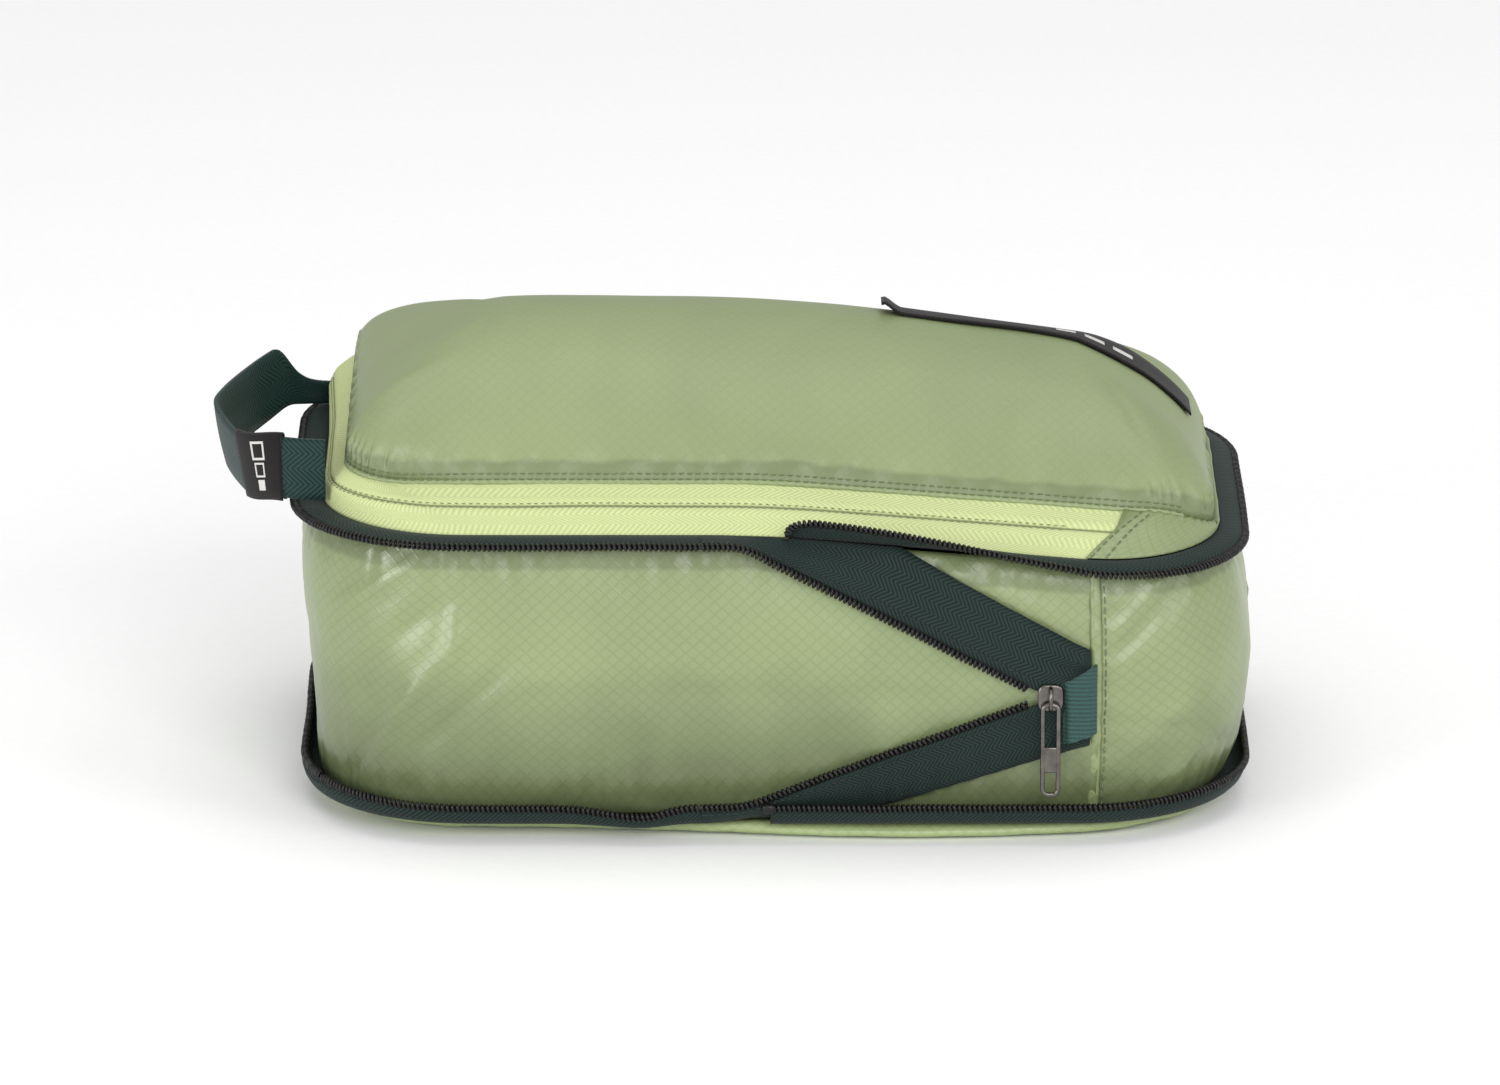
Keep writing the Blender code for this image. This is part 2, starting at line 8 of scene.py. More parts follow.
import bmesh
import bpy
from mathutils import Matrix, Vector, noise
from mathutils.bvhtree import BVHTree
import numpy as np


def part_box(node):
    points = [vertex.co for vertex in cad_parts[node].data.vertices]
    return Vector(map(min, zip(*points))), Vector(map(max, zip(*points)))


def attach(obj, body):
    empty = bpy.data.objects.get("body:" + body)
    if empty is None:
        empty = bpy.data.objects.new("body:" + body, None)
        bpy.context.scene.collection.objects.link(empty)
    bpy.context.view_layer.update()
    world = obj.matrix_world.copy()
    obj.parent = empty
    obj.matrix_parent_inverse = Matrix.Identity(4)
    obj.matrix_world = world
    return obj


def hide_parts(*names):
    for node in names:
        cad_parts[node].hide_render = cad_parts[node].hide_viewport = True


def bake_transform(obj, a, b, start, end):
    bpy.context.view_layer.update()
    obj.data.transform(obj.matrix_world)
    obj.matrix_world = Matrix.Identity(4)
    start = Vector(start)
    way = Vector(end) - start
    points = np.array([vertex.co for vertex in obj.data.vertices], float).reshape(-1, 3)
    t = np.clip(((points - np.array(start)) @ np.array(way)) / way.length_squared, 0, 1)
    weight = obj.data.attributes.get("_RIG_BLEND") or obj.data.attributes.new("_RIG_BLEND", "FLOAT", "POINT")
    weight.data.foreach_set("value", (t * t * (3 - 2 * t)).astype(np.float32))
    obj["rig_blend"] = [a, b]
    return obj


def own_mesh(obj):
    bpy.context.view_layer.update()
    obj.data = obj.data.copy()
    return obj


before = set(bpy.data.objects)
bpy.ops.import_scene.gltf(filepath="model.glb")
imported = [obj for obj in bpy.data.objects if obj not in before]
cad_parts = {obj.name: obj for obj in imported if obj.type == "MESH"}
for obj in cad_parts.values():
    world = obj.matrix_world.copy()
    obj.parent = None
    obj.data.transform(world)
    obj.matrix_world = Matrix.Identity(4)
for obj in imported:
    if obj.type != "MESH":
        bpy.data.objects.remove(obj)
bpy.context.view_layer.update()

MM = 0.001


def corners(node):
    low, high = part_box(node)
    return Vector(low) / MM, Vector(high) / MM


# ---- driving sizes, from the frame ----

_, BASE_HIGH = corners("base_seam_binding")
GUSSET_LOW, _ = corners("gusset_main")
LABEL_LOW, _ = corners("top_label")
SLIDER_LOW, SLIDER_HIGH = corners("compression_slider")
TAB_LOW, TAB_HIGH = corners("webbing_tab")

RIM_INSET = 2.1  # from the binding's outer face to the seam line
HALF_X = BASE_HIGH.x + RIM_INSET
HALF_Y = BASE_HIGH.y + RIM_INSET
ROUND = 38.0
RIM = {"left": HALF_X, "right": HALF_X, "side": HALF_Y, "round_left": ROUND, "round_right": ROUND}
LID = {"left": 111.8, "right": 117.3, "side": 54.0, "round_left": 12.0, "round_right": 18.0}

RIM_Z = 82.5
RIM_FALL = 8.0
FALL_LENGTH = 100.0
LID_EDGE_Z = 91.0
LID_LEFT_RISE = 8.0
LID_RIGHT_Z = 75.8
BASE_SEAM_Z = GUSSET_LOW.z
CREST_Z = 124.0
CREST_FALL = 10.0
CREST_LEFT_X = -70.0
CREST_RIGHT_X = 80.0
BULGE_SIDE = 6.0
BULGE_LEFT = 6.5
BULGE_RIGHT = 9.0
SEAM_T = 1.07
LIME_END_RIM_T = 1.04
LIME_END_LID_T = 0.975
BAND_WIDTH = 20.8  # of the lime zipper, both halves
V_RIGHT_X = 82.3
CHAIN_X = 71.5
CHAIN_Z = 40.5


# ---- helpers ----


def smooth(x):
    x = min(max(x, 0.0), 1.0)
    return x * x * (3.0 - 2.0 * x)


def mix(a, b, share):
    return a + (b - a) * share


def bell(x, width):
    return math.exp(-((x / width) ** 2))


def waver(x, y, size, seed):
    """Smooth noise between about -1 and 1, with features of this size in millimetres."""
    return noise.noise(Vector((x / size, y / size, seed * 7.31)))


def fold(x, y, start, end, width, depth):
    """A soft crease from start to end, fading at both ends."""
    run = Vector(end) - Vector(start)
    there = Vector((x, y)) - Vector(start)
    share = there.dot(run) / run.length_squared
    off = abs(there.x * run.y - there.y * run.x) / run.length
    if off > 3.5 * width or share < -0.3 or share > 1.3:
        return 0.0
    ends = smooth((share + 0.15) / 0.35) * smooth((1.15 - share) / 0.35)
    sharp = 1.0 / (1.0 + (1.6 * off / width) ** 2)
    return depth * mix(bell(off, width), sharp, 0.5) * bell(off, 3.0 * width) * ends


# ---- the outlines seen from above ----


def outline_point(outline, t):
    """The point at t and its outward normal. Whole steps of t, counter-clockwise: 0 front,
    1 front right corner, 2 right end, 3 rear right, 4 rear, 5 rear left, 6 left end, 7 front left."""
    t = t % 8.0
    stretch = int(t)
    share = t - stretch
    left = outline["left"]
    right = outline["right"]
    side = outline["side"]
    round_left = outline["round_left"]
    round_right = outline["round_right"]
    if stretch == 0:
        return mix(round_left - left, right - round_right, share), -side, 0.0, -1.0
    if stretch == 2:
        return right, mix(round_right - side, side - round_right, share), 1.0, 0.0
    if stretch == 4:
        return mix(right - round_right, round_left - left, share), side, 0.0, 1.0
    if stretch == 6:
        return -left, mix(side - round_left, round_left - side, share), -1.0, 0.0
    radius = round_right if stretch in (1, 3) else round_left
    centre_x = right - radius if stretch in (1, 3) else radius - left
    centre_y = radius - side if stretch in (1, 7) else side - radius
    angle = math.radians(-90.0 + 45.0 * (stretch - 1) + 90.0 * share)
    nx = math.cos(angle)
    ny = math.sin(angle)
    return centre_x + radius * nx, centre_y + radius * ny, nx, ny


LONG = 2.0 * (HALF_X - ROUND)
SHORT = 2.0 * (HALF_Y - ROUND)
ARC = math.pi / 2.0 * ROUND
LENGTHS = (LONG, ARC, SHORT, ARC, LONG, ARC, SHORT, ARC)


def run_of(t):
    """Length along the rim seam from t = 0."""
    laps, t = divmod(t, 8.0)
    whole = int(t)
    return laps * sum(LENGTHS) + sum(LENGTHS[:whole]) + (t - whole) * LENGTHS[whole]


def t_of(run):
    laps, run = divmod(run, sum(LENGTHS))
    whole = 0
    while whole < 7 and run > LENGTHS[whole]:
        run -= LENGTHS[whole]
        whole += 1
    return 8.0 * laps + whole + run / LENGTHS[whole]


def spaced(start, end, step):
    """Values of t from start to end, evenly spaced along the rim seam."""
    first = run_of(start)
    last = run_of(end)
    count = max(2, round((last - first) / step))
    return [t_of(mix(first, last, i / count)) for i in range(count + 1)]


def front_t(x):
    straight = HALF_X - ROUND
    if x <= straight:
        return (x + straight) / (2.0 * straight)
    return 1.0 + math.degrees(math.asin((x - straight) / ROUND)) / 90.0


def fall(x):
    return RIM_FALL * smooth_ramp(x / FALL_LENGTH)


def smooth_ramp(x):
    """A straight ramp from 0 to 1 with its two corners rounded."""
    ease = 0.12
    x = min(max(x, -ease), 1.0 + ease)
    if x < ease:
        return (x + ease) ** 2 / (4.0 * ease)
    if x > 1.0 - ease:
        return 1.0 - (1.0 + ease - x) ** 2 / (4.0 * ease)
    return x


def rim_point(t, out=0.0, up=0.0):
    x, y, nx, ny = outline_point(RIM, t)
    return Vector((x + out * nx, y + out * ny, RIM_Z - fall(x) + up))


def lid_edge(t):
    x, y, _, _ = outline_point(LID, t)
    rise = LID_LEFT_RISE * smooth((-x - 95.0) / 18.0)
    z = LID_EDGE_Z - fall(x) + rise * mix(0.22, 1.0, (y + LID["side"]) / (2.0 * LID["side"]))
    corner_x = LID["right"] - LID["round_right"]
    z = mix(z, LID_RIGHT_Z, max(0.0, (x - corner_x) / LID["round_right"]) ** 2)
    return Vector((x, y, z))


def band_point(t, across, up=0.0):
    low = rim_point(t)
    high = lid_edge(t)
    along = rim_point(t + 0.01) - rim_point(t - 0.01)
    normal = along.cross(high - low).normalized()
    _, y, nx, _ = outline_point(RIM, t)
    swell = (0.7 + max(-nx, 0.0) * (1.6 + 2.2 * smooth(y / 45.0))) * math.sin(math.pi * across)
    return low.lerp(high, across) + normal * (up + swell - 0.35)


def bulge(t):
    x, _, nx, _ = outline_point(RIM, t)
    end = BULGE_RIGHT if x > 0.0 else BULGE_LEFT
    return mix(BULGE_SIDE, end, nx * nx)


def gusset_top(t):
    return RIM_Z - 1.4 - fall(outline_point(RIM, t)[0])


def gusset_out(t, z):
    share = min(max((z - BASE_SEAM_Z) / (gusset_top(t) - BASE_SEAM_Z), 0.0), 1.0)
    return bulge(t) * math.sin(math.pi * share) ** 0.6


# ---- mesh makers ----


def to_object(work, name, material, body):
    """Turns the bmesh into an object that rides on body, if one is given."""
    mesh = bpy.data.meshes.new(name)
    work.to_mesh(mesh)
    work.free()
    mesh.materials.append(material)
    obj = bpy.data.objects.new(name, mesh)
    bpy.context.scene.collection.objects.link(obj)
    if body:
        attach(obj, body)
    return obj


def grid(rows, columns, at):
    """What at(row, column) returns, as one list of rows for each of its values."""
    made = [[at(row, column) for column in columns] for row in rows]
    return [[[entry[k] for entry in line] for line in made] for k in range(len(made[0][0]))]


def surface(name, rows, thickness, material, body, uv, edge=None, closed=False):
    """A sheet through rows of points. uv gives (u, v) in millimetres, edge a distance in millimetres."""
    width = len(rows[0])
    work = bmesh.new()
    uv_layer = work.loops.layers.uv.new("UVMap")
    edge_layer = work.verts.layers.float.new("edge")
    verts = [[work.verts.new(p * MM) for p in row] for row in rows]
    if edge:
        for row, values in zip(verts, edge):
            for vert, value in zip(row, values):
                vert[edge_layer] = value
    for j in range(len(rows) - 1):
        for i in range(width if closed else width - 1):
            k = (i + 1) % width
            face = work.faces.new((verts[j][i], verts[j][k], verts[j + 1][k], verts[j + 1][i]))
            face.smooth = True
            # past the last column of a closed sheet u runs on
            stretch = width / (width - 1)
            near, far = ((uv[m][k] if k else (uv[m][-1][0] * stretch, uv[m][0][1])) for m in (j, j + 1))
            for loop, value in zip(face.loops, (uv[j][i], near, far, uv[j + 1][i])):
                loop[uv_layer].uv = (value[0] * MM, value[1] * MM)
    bmesh.ops.remove_doubles(work, verts=work.verts, dist=1e-7)
    obj = to_object(work, name, material, body)
    if thickness:
        thicken(obj, thickness)
    return obj


def thicken(obj, thickness, offset=0.0):
    modifier = obj.modifiers.new("thickness", "SOLIDIFY")
    modifier.thickness = thickness * MM
    modifier.offset = offset
    bpy.context.view_layer.update()
    graph = bpy.context.evaluated_depsgraph_get()
    mesh = bpy.data.meshes.new_from_object(obj.evaluated_get(graph))
    obj.modifiers.clear()
    obj.data = mesh
    return obj


def flattens(obj):
    """A piece between the rim and the bottom seam; only gives the object its own copy of its mesh."""
    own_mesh(obj)


def loft(work, rings, closed=False):
    """Faces between rings of vertices, with a cap at each end unless the rings close."""
    pairs = list(zip(rings, rings[1:]))
    if closed:
        pairs.append((rings[-1], rings[0]))
    for ring, after in pairs:
        for k in range(len(ring)):
            m = (k + 1) % len(ring)
            work.faces.new((ring[k], ring[m], after[m], after[k])).smooth = True
    if not closed:
        work.faces.new(list(reversed(rings[0])))
        work.faces.new(rings[-1])


def tube(name, points, radius, material, body, closed=False, sides=6):
    """A round tube through points."""
    work = bmesh.new()
    rings = []
    count = len(points)
    previous = None
    for i, point in enumerate(points):
        before = points[(i - 1) % count] if closed or i else points[0]
        after = points[(i + 1) % count] if closed or i < count - 1 else points[-1]
        along = (after - before).normalized()
        if previous is None:
            previous = along.orthogonal().normalized()
        previous = (previous - along * previous.dot(along)).normalized()
        other = along.cross(previous)
        ring = []
        for side in range(sides):
            angle = 2.0 * math.pi * side / sides
            offset = (previous * math.cos(angle) + other * math.sin(angle)) * radius
            ring.append(work.verts.new((point + offset) * MM))
        rings.append(ring)
    loft(work, rings, closed)
    return to_object(work, name, material, body)


def coil(name, path, material, body, across=0.86, deep=0.66, wire=0.46, pitch=1.32):
    """A zipper's spiral coil. path gives for a length the point, the across direction and the normal."""
    points_per_turn = 8
    points = []
    length = path[-1][0]
    turns = int(length / pitch)
    index = 0
    for step in range(turns * points_per_turn + 1):
        at = step / points_per_turn * pitch
        while index < len(path) - 2 and path[index + 1][0] < at:
            index += 1
        share = (at - path[index][0]) / max(path[index + 1][0] - path[index][0], 1e-6)
        centre = path[index][1].lerp(path[index + 1][1], share)
        side = path[index][2].lerp(path[index + 1][2], share)
        up = path[index][3].lerp(path[index + 1][3], share)
        angle = 2.0 * math.pi * step / points_per_turn
        points.append(centre + side * (across * math.cos(angle)) + up * (deep * math.sin(angle)))
    return tube(name, points, wire, material, body, sides=5)


def coil_path(centres, normals):
    """Lengths, points, across directions and normals along a line on a tape with these normals."""
    path = []
    length = 0.0
    for i, (centre, normal) in enumerate(zip(centres, normals)):
        if i:
            length += (centre - centres[i - 1]).length
        before = centres[max(i - 1, 0)]
        after = centres[min(i + 1, len(centres) - 1)]
        along = (after - before).normalized()
        side = normal.cross(along).normalized()
        path.append((length, centre, side, along.cross(side)))
    return path


def stitches(name, lines, material, body, length=2.0, gap=0.8, radius=0.17):
    """Rows of sewn thread. Each line is a list of (point, normal)."""
    work = bmesh.new()
    for line in lines:
        travelled = 0.0
        lengths = [0.0]
        for (a, _), (b, _) in zip(line, line[1:]):
            lengths.append(lengths[-1] + (b - a).length)

        def at(distance):
            index = 0
            while index < len(lengths) - 2 and lengths[index + 1] < distance:
                index += 1
            share = (distance - lengths[index]) / max(lengths[index + 1] - lengths[index], 1e-6)
            share = min(max(share, 0.0), 1.0)
            point = line[index][0].lerp(line[index + 1][0], share)
            return point, line[index][1]

        while travelled + length < lengths[-1]:
            first, normal = at(travelled)
            last, _ = at(travelled + length)
            along = (last - first).normalized()
            side = along.cross(normal).normalized()
            rings = []
            for share, size in ((0.0, 0.35), (0.25, 1.0), (0.75, 1.0), (1.0, 0.35)):
                centre = first.lerp(last, share) + normal * (radius * (size - 0.55))
                ring = []
                for k in range(5):
                    angle = 2.0 * math.pi * k / 5
                    offset = side * math.cos(angle) * radius * 1.35 + normal * math.sin(angle) * radius
                    ring.append(work.verts.new((centre + offset * size) * MM))
                rings.append(ring)
            loft(work, rings)
            travelled += length + gap
    bmesh.ops.recalc_face_normals(work, faces=work.faces)
    return to_object(work, name, material, body)


def rounded_block(name, size, width, matrix, material, body, segments=3):
    work = bmesh.new()
    bmesh.ops.create_cube(work, size=1.0)
    bmesh.ops.scale(work, vec=Vector(size) * MM, verts=work.verts)
    edges = list(work.edges)
    bmesh.ops.bevel(work, geom=edges, offset=width * MM, segments=segments, profile=0.5, affect="EDGES")
    bmesh.ops.transform(work, matrix=matrix, verts=work.verts)
    for face in work.faces:
        face.smooth = True
    return to_object(work, name, material, body)


# ---- materials ----


class Nodes:
    """Short ways to add nodes to one material."""

    def __init__(self, name):
        self.material = bpy.data.materials.new(name)
        self.material.use_nodes = True
        self.tree = self.material.node_tree
        self.shader = self.tree.nodes["Principled BSDF"]

    def add(self, kind, **values):
        node = self.tree.nodes.new(kind)
        for key, value in values.items():
            setattr(node, key, value)
        return node

    def link(self, source, target):
        self.tree.links.new(source, target)

    def feed(self, value, socket):
        """Sets the socket to a number, or links it to another socket."""
        if isinstance(value, (int, float)):
            socket.default_value = value
        else:
            self.link(value, socket)

    def math(self, operation, a, b=None, c=None):
        node = self.add("ShaderNodeMath", operation=operation)
        for socket, value in zip(node.inputs, (a, b, c)):
            if value is not None:
                self.feed(value, socket)
        return node.outputs[0]

    def uv(self):
        node = self.add("ShaderNodeUVMap", uv_map="UVMap")
        split = self.add("ShaderNodeSeparateXYZ")
        self.link(node.outputs[0], split.inputs[0])
        return split.outputs[0], split.outputs[1]

    def noise(self, size, detail=3.0, coordinates="Object"):
        """Noise with features of this size in millimetres."""
        place = self.add("ShaderNodeTexCoord")
        node = self.add("ShaderNodeTexNoise")
        node.inputs["Scale"].default_value = 1.0 / (size * MM)
        node.inputs["Detail"].default_value = detail
        self.link(place.outputs[coordinates], node.inputs["Vector"])
        return node.outputs["Fac"]

    def ramp(self, value, low, high, out_low=0.0, out_high=1.0):
        node = self.add("ShaderNodeMapRange")
        node.inputs["From Min"].default_value = low
        node.inputs["From Max"].default_value = high
        node.inputs["To Min"].default_value = out_low
        node.inputs["To Max"].default_value = out_high
        self.link(value, node.inputs["Value"])
        return node.outputs[0]

    def blend(self, share, a, b):
        node = self.add("ShaderNodeMix", data_type="RGBA")
        sockets = [s for s in node.inputs if s.type == "RGBA"]
        for socket, value in zip(sockets, (a, b)):
            if isinstance(value, tuple):
                socket.default_value = (*value, 1.0)
            else:
                self.link(value, socket)
        self.feed(share, node.inputs["Factor"])
        return [s for s in node.outputs if s.type == "RGBA"][0]

    def tint(self, base, mask, amount, colour):
        """base, turned to colour by this amount where mask is 1."""
        return self.blend(self.math("MULTIPLY", mask, amount), base, colour)

    def colour(self, value):
        self.link(value, self.shader.inputs["Base Color"])

    def roughness(self, value):
        self.feed(value, self.shader.inputs["Roughness"])

    def bump(self, height, depth, strength=1.0, before=None):
        """Bump with this depth in millimetres."""
        node = self.add("ShaderNodeBump")
        node.inputs["Strength"].default_value = strength
        node.inputs["Distance"].default_value = depth * MM
        self.link(height, node.inputs["Height"])
        if before is not None:
            self.link(before, node.inputs["Normal"])
        self.link(node.outputs[0], self.shader.inputs["Normal"])
        return node.outputs[0]


def shade(colour, factor):
    return tuple(min(c * factor, 1.0) for c in colour)


def ripstop_lines(nodes, spacing=2.7, width=0.13):
    """1 on the thick threads of the diamond grid, 0 between them."""
    u, v = nodes.uv()
    lines = None
    for sign in ("ADD", "SUBTRACT"):
        along = nodes.math(sign, u, v)
        cell = nodes.math("DIVIDE", along, spacing * math.sqrt(2.0) * MM)
        part = nodes.math("PINGPONG", cell, 0.5)
        line = nodes.ramp(part, width * 0.45, width, 1.0, 0.0)
        lines = line if lines is None else nodes.math("MAXIMUM", lines, line)
    return lines


def ripstop(name, colour, dark_band=0.0, gloss=0.36, painted_low_shade=0.0, grid=0.16):
    """Thin calendered nylon. dark_band is how far from its edge a seam allowance shows through."""
    nodes = Nodes(name)
    lines = ripstop_lines(nodes)
    patches = nodes.noise(38.0, 2.0)
    fine = nodes.noise(0.7, 4.0)
    base = nodes.blend(nodes.ramp(patches, 0.3, 0.7), shade(colour, 0.93), shade(colour, 1.07))
    base = nodes.tint(base, lines, grid, shade(colour, 0.40))
    base = nodes.tint(base, nodes.ramp(fine, 0.35, 0.65), 0.10, shade(colour, 1.3))
    if dark_band:
        edge = nodes.add("ShaderNodeAttribute", attribute_name="edge").outputs["Fac"]
        ragged = nodes.math("ADD", edge, nodes.ramp(nodes.noise(9.0, 1.0), 0.2, 0.8, -0.8, 0.8))
        inside = nodes.ramp(ragged, dark_band - 0.5, dark_band + 0.9, 1.0, 0.0)
        base = nodes.tint(base, inside, 0.55, shade(colour, 0.5))
        # painted shade: the cloth darkens towards the bottom seam, standing in for the shade of the lower
        # gusset under the top light, and partly for the dark contents seen through the thin cloth
        if painted_low_shade:
            lower = nodes.math("ADD", edge, nodes.ramp(nodes.noise(30.0, 2.0), 0.2, 0.8, -14.0, 14.0))
            painted_shade = nodes.ramp(lower, 40.0, 78.0, 0.0, painted_low_shade)
            base = nodes.blend(painted_shade, base, shade(colour, 0.30))
    nodes.colour(base)
    nodes.roughness(nodes.ramp(patches, 0.2, 0.8, gloss - 0.05, gloss + 0.07))
    first = nodes.bump(fine, 0.05, 0.5)
    nodes.bump(lines, 0.06, 0.4, first)
    nodes.shader.inputs["Specular IOR Level"].default_value = 0.65
    return nodes.material


def herringbone(name, colour, column=2.2, pitch=1.0, contrast=0.2, gloss=0.72, line=None):
    """Woven tape with slanting ribs that turn at each column. line paints shade in a narrow band at v = 0.
    """
    nodes = Nodes(name)
    u, v = nodes.uv()
    zigzag = nodes.math("PINGPONG", v, column * MM)
    slanted = nodes.math("ADD", u, nodes.math("MULTIPLY", zigzag, 1.1))
    ribs = nodes.math("SINE", nodes.math("MULTIPLY", slanted, 2.0 * math.pi / (pitch * MM)))
    rib = nodes.ramp(ribs, -1.0, 1.0)
    fine = nodes.noise(0.4, 3.0)
    patches = nodes.noise(25.0, 2.0)
    base = nodes.blend(rib, shade(colour, 1.0 - contrast), shade(colour, 1.0 + contrast * 0.7))
    base = nodes.tint(base, nodes.ramp(patches, 0.3, 0.7), 0.15, shade(colour, 1.2))
    base = nodes.tint(base, nodes.ramp(fine, 0.4, 0.7), 0.14, shade(colour, 1.45))
    if line:
        edge = nodes.add("ShaderNodeAttribute", attribute_name="edge").outputs["Fac"]
        # painted shade along the slit, where the two tape halves meet
        painted_slit_shade = nodes.ramp(edge, line[0], line[1], 1.0, 0.0)
        base = nodes.tint(base, painted_slit_shade, line[2], shade(colour, 0.35))
    nodes.colour(base)
    nodes.roughness(gloss)
    first = nodes.bump(fine, 0.05, 0.5)
    nodes.bump(rib, 0.12, 0.7, first)
    nodes.shader.inputs["Sheen Weight"].default_value = 0.05
    nodes.shader.inputs["Specular IOR Level"].default_value = 0.2
    return nodes.material


def ribbed(name, colour, pitch, gloss=0.62):
    """Grosgrain: ribs across the band, at right angles to v."""
    nodes = Nodes(name)
    u, v = nodes.uv()
    ribs = nodes.math("SINE", nodes.math("MULTIPLY", v, 2.0 * math.pi / (pitch * MM)))
    rib = nodes.ramp(ribs, -1.0, 1.0)
    threads = nodes.math("SINE", nodes.math("MULTIPLY", u, 2.0 * math.pi / (0.45 * MM)))
    fine = nodes.noise(0.5, 3.0)
    base = nodes.blend(rib, shade(colour, 0.55), shade(colour, 1.25))
    base = nodes.tint(base, nodes.ramp(fine, 0.4, 0.7), 0.2, shade(colour, 1.6))
    nodes.colour(base)
    nodes.roughness(gloss)
    first = nodes.bump(nodes.ramp(threads, -1.0, 1.0), 0.05, 0.5)
    nodes.bump(rib, 0.22, 0.8, first)
    nodes.shader.inputs["Sheen Weight"].default_value = 0.15
    return nodes.material


def plain_weave(name, colour, pitch=0.6, gloss=0.6, contrast=0.25):
    nodes = Nodes(name)
    u, v = nodes.uv()
    warp = nodes.math("SINE", nodes.math("MULTIPLY", u, 2.0 * math.pi / (pitch * MM)))
    weft = nodes.math("SINE", nodes.math("MULTIPLY", v, 2.0 * math.pi / (pitch * MM)))
    weave = nodes.ramp(nodes.math("MULTIPLY", warp, weft), -1.0, 1.0)
    fine = nodes.noise(1.4, 3.0)
    base = nodes.blend(weave, shade(colour, 1.0 - contrast), shade(colour, 1.0 + contrast))
    base = nodes.tint(base, nodes.ramp(fine, 0.4, 0.7), 0.2, shade(colour, 1.5))
    nodes.colour(base)
    nodes.roughness(gloss)
    nodes.bump(weave, 0.08, 0.6)
    nodes.shader.inputs["Sheen Weight"].default_value = 0.1
    return nodes.material


def moulded(name, colour, gloss=0.32):
    nodes = Nodes(name)
    fine = nodes.noise(1.1, 3.0)
    nodes.colour(nodes.blend(nodes.ramp(fine, 0.3, 0.7), shade(colour, 0.8), shade(colour, 1.5)))
    nodes.roughness(nodes.ramp(fine, 0.2, 0.8, gloss - 0.06, gloss + 0.1))
    nodes.bump(fine, 0.02, 0.4)
    nodes.shader.inputs["Specular IOR Level"].default_value = 0.35
    return nodes.material


def metal(name, colour, gloss=0.27):
    nodes = Nodes(name)
    fine = nodes.noise(0.5, 4.0)
    worn = nodes.noise(4.0, 4.0)
    nodes.colour(nodes.blend(nodes.ramp(worn, 0.35, 0.7), shade(colour, 0.75), shade(colour, 1.25)))
    nodes.roughness(nodes.ramp(worn, 0.2, 0.8, gloss - 0.07, gloss + 0.12))
    nodes.bump(fine, 0.02, 0.35)
    nodes.shader.inputs["Metallic"].default_value = 1.0
    return nodes.material


def thread(name, colour):
    nodes = Nodes(name)
    fine = nodes.noise(0.35, 3.0)
    nodes.colour(nodes.blend(nodes.ramp(fine, 0.35, 0.65), shade(colour, 0.7), shade(colour, 1.2)))
    nodes.roughness(0.55)
    nodes.bump(fine, 0.05, 0.6)
    return nodes.material


MOSS = (0.222, 0.272, 0.124)
LIME = (0.50, 0.56, 0.27)
DARK = (0.010, 0.022, 0.019)
BLACK = (0.007, 0.006, 0.006)
TEAL = (0.009, 0.055, 0.046)
STRAP = (0.008, 0.030, 0.027)
TAG = (0.013, 0.011, 0.011)
NICKEL = (0.16, 0.147, 0.137)

# the gusset cloth carries painted shade towards its bottom seam
moss_wall = ripstop("moss_wall", MOSS, dark_band=9.0, gloss=0.34, painted_low_shade=0.6)
moss_lid = ripstop("moss_lid", shade(MOSS, 0.98), dark_band=5.6, gloss=0.46, grid=0.05)
moss_base = ripstop("moss_base", shade(MOSS, 1.0), gloss=0.42)
# painted light: a lighter copy of the moss cloth for the bottom, lifting it out of the shade it sits in
moss_bottom = ripstop("moss_bottom", shade(MOSS, 1.5), gloss=0.42)
SLIT_PAINTED_SHADE = (0.1, 0.5, 0.75)  # painted shade in a line beside the slit: from, to, how dark
lime_tape = herringbone("lime_tape", LIME, 3.6, 1.5, contrast=0.16, gloss=0.75, line=SLIT_PAINTED_SHADE)
dark_tape = herringbone("dark_tape", DARK, column=2.6, pitch=1.3, contrast=0.75)
strap_weave = herringbone("strap_weave", STRAP, column=4.2, pitch=1.5, contrast=0.75, gloss=0.55)
TAB_RIB = 1.15
teal_rib = ribbed("teal_rib", TEAL, TAB_RIB)
label_weave = plain_weave("label_weave", shade(TAG, 0.8), 0.5, gloss=0.85)
label_weave.node_tree.nodes["Principled BSDF"].inputs["Specular IOR Level"].default_value = 0.12
mark_thread = plain_weave("mark_thread", (0.56, 0.55, 0.53), 0.5, contrast=0.12)
coil_plastic = moulded("coil_plastic", BLACK, 0.34)
gunmetal = metal("gunmetal", NICKEL)
moss_thread = thread("moss_thread", shade(MOSS, 0.62))
lime_thread = thread("lime_thread", shade(LIME, 0.42))
dark_thread = thread("dark_thread", shade(DARK, 0.7))


# ---- gusset ----

PUCKER_DEPTH = 0.75
FOLD_GAIN = 1.5
CLOTH = 0.35
WALL_ROWS = 46
RIDGE_SECTION = (0.15, 0.75, 0.95, 0.9, 0.7, 0.15)


def pucker(run, distance, reach, seed):
    """Small vertical gathers near a seam, fading with the distance from it."""
    fade = bell(distance, reach)
    if fade < 0.02:
        return 0.0
    phase = run / 6.2 + 1.3 * waver(run, 0.0, 17.0, seed)
    strength = 0.55 + 0.6 * waver(run, 3.0, 26.0, seed + 1)
    return PUCKER_DEPTH * strength * math.sin(2.0 * math.pi * phase) * fade


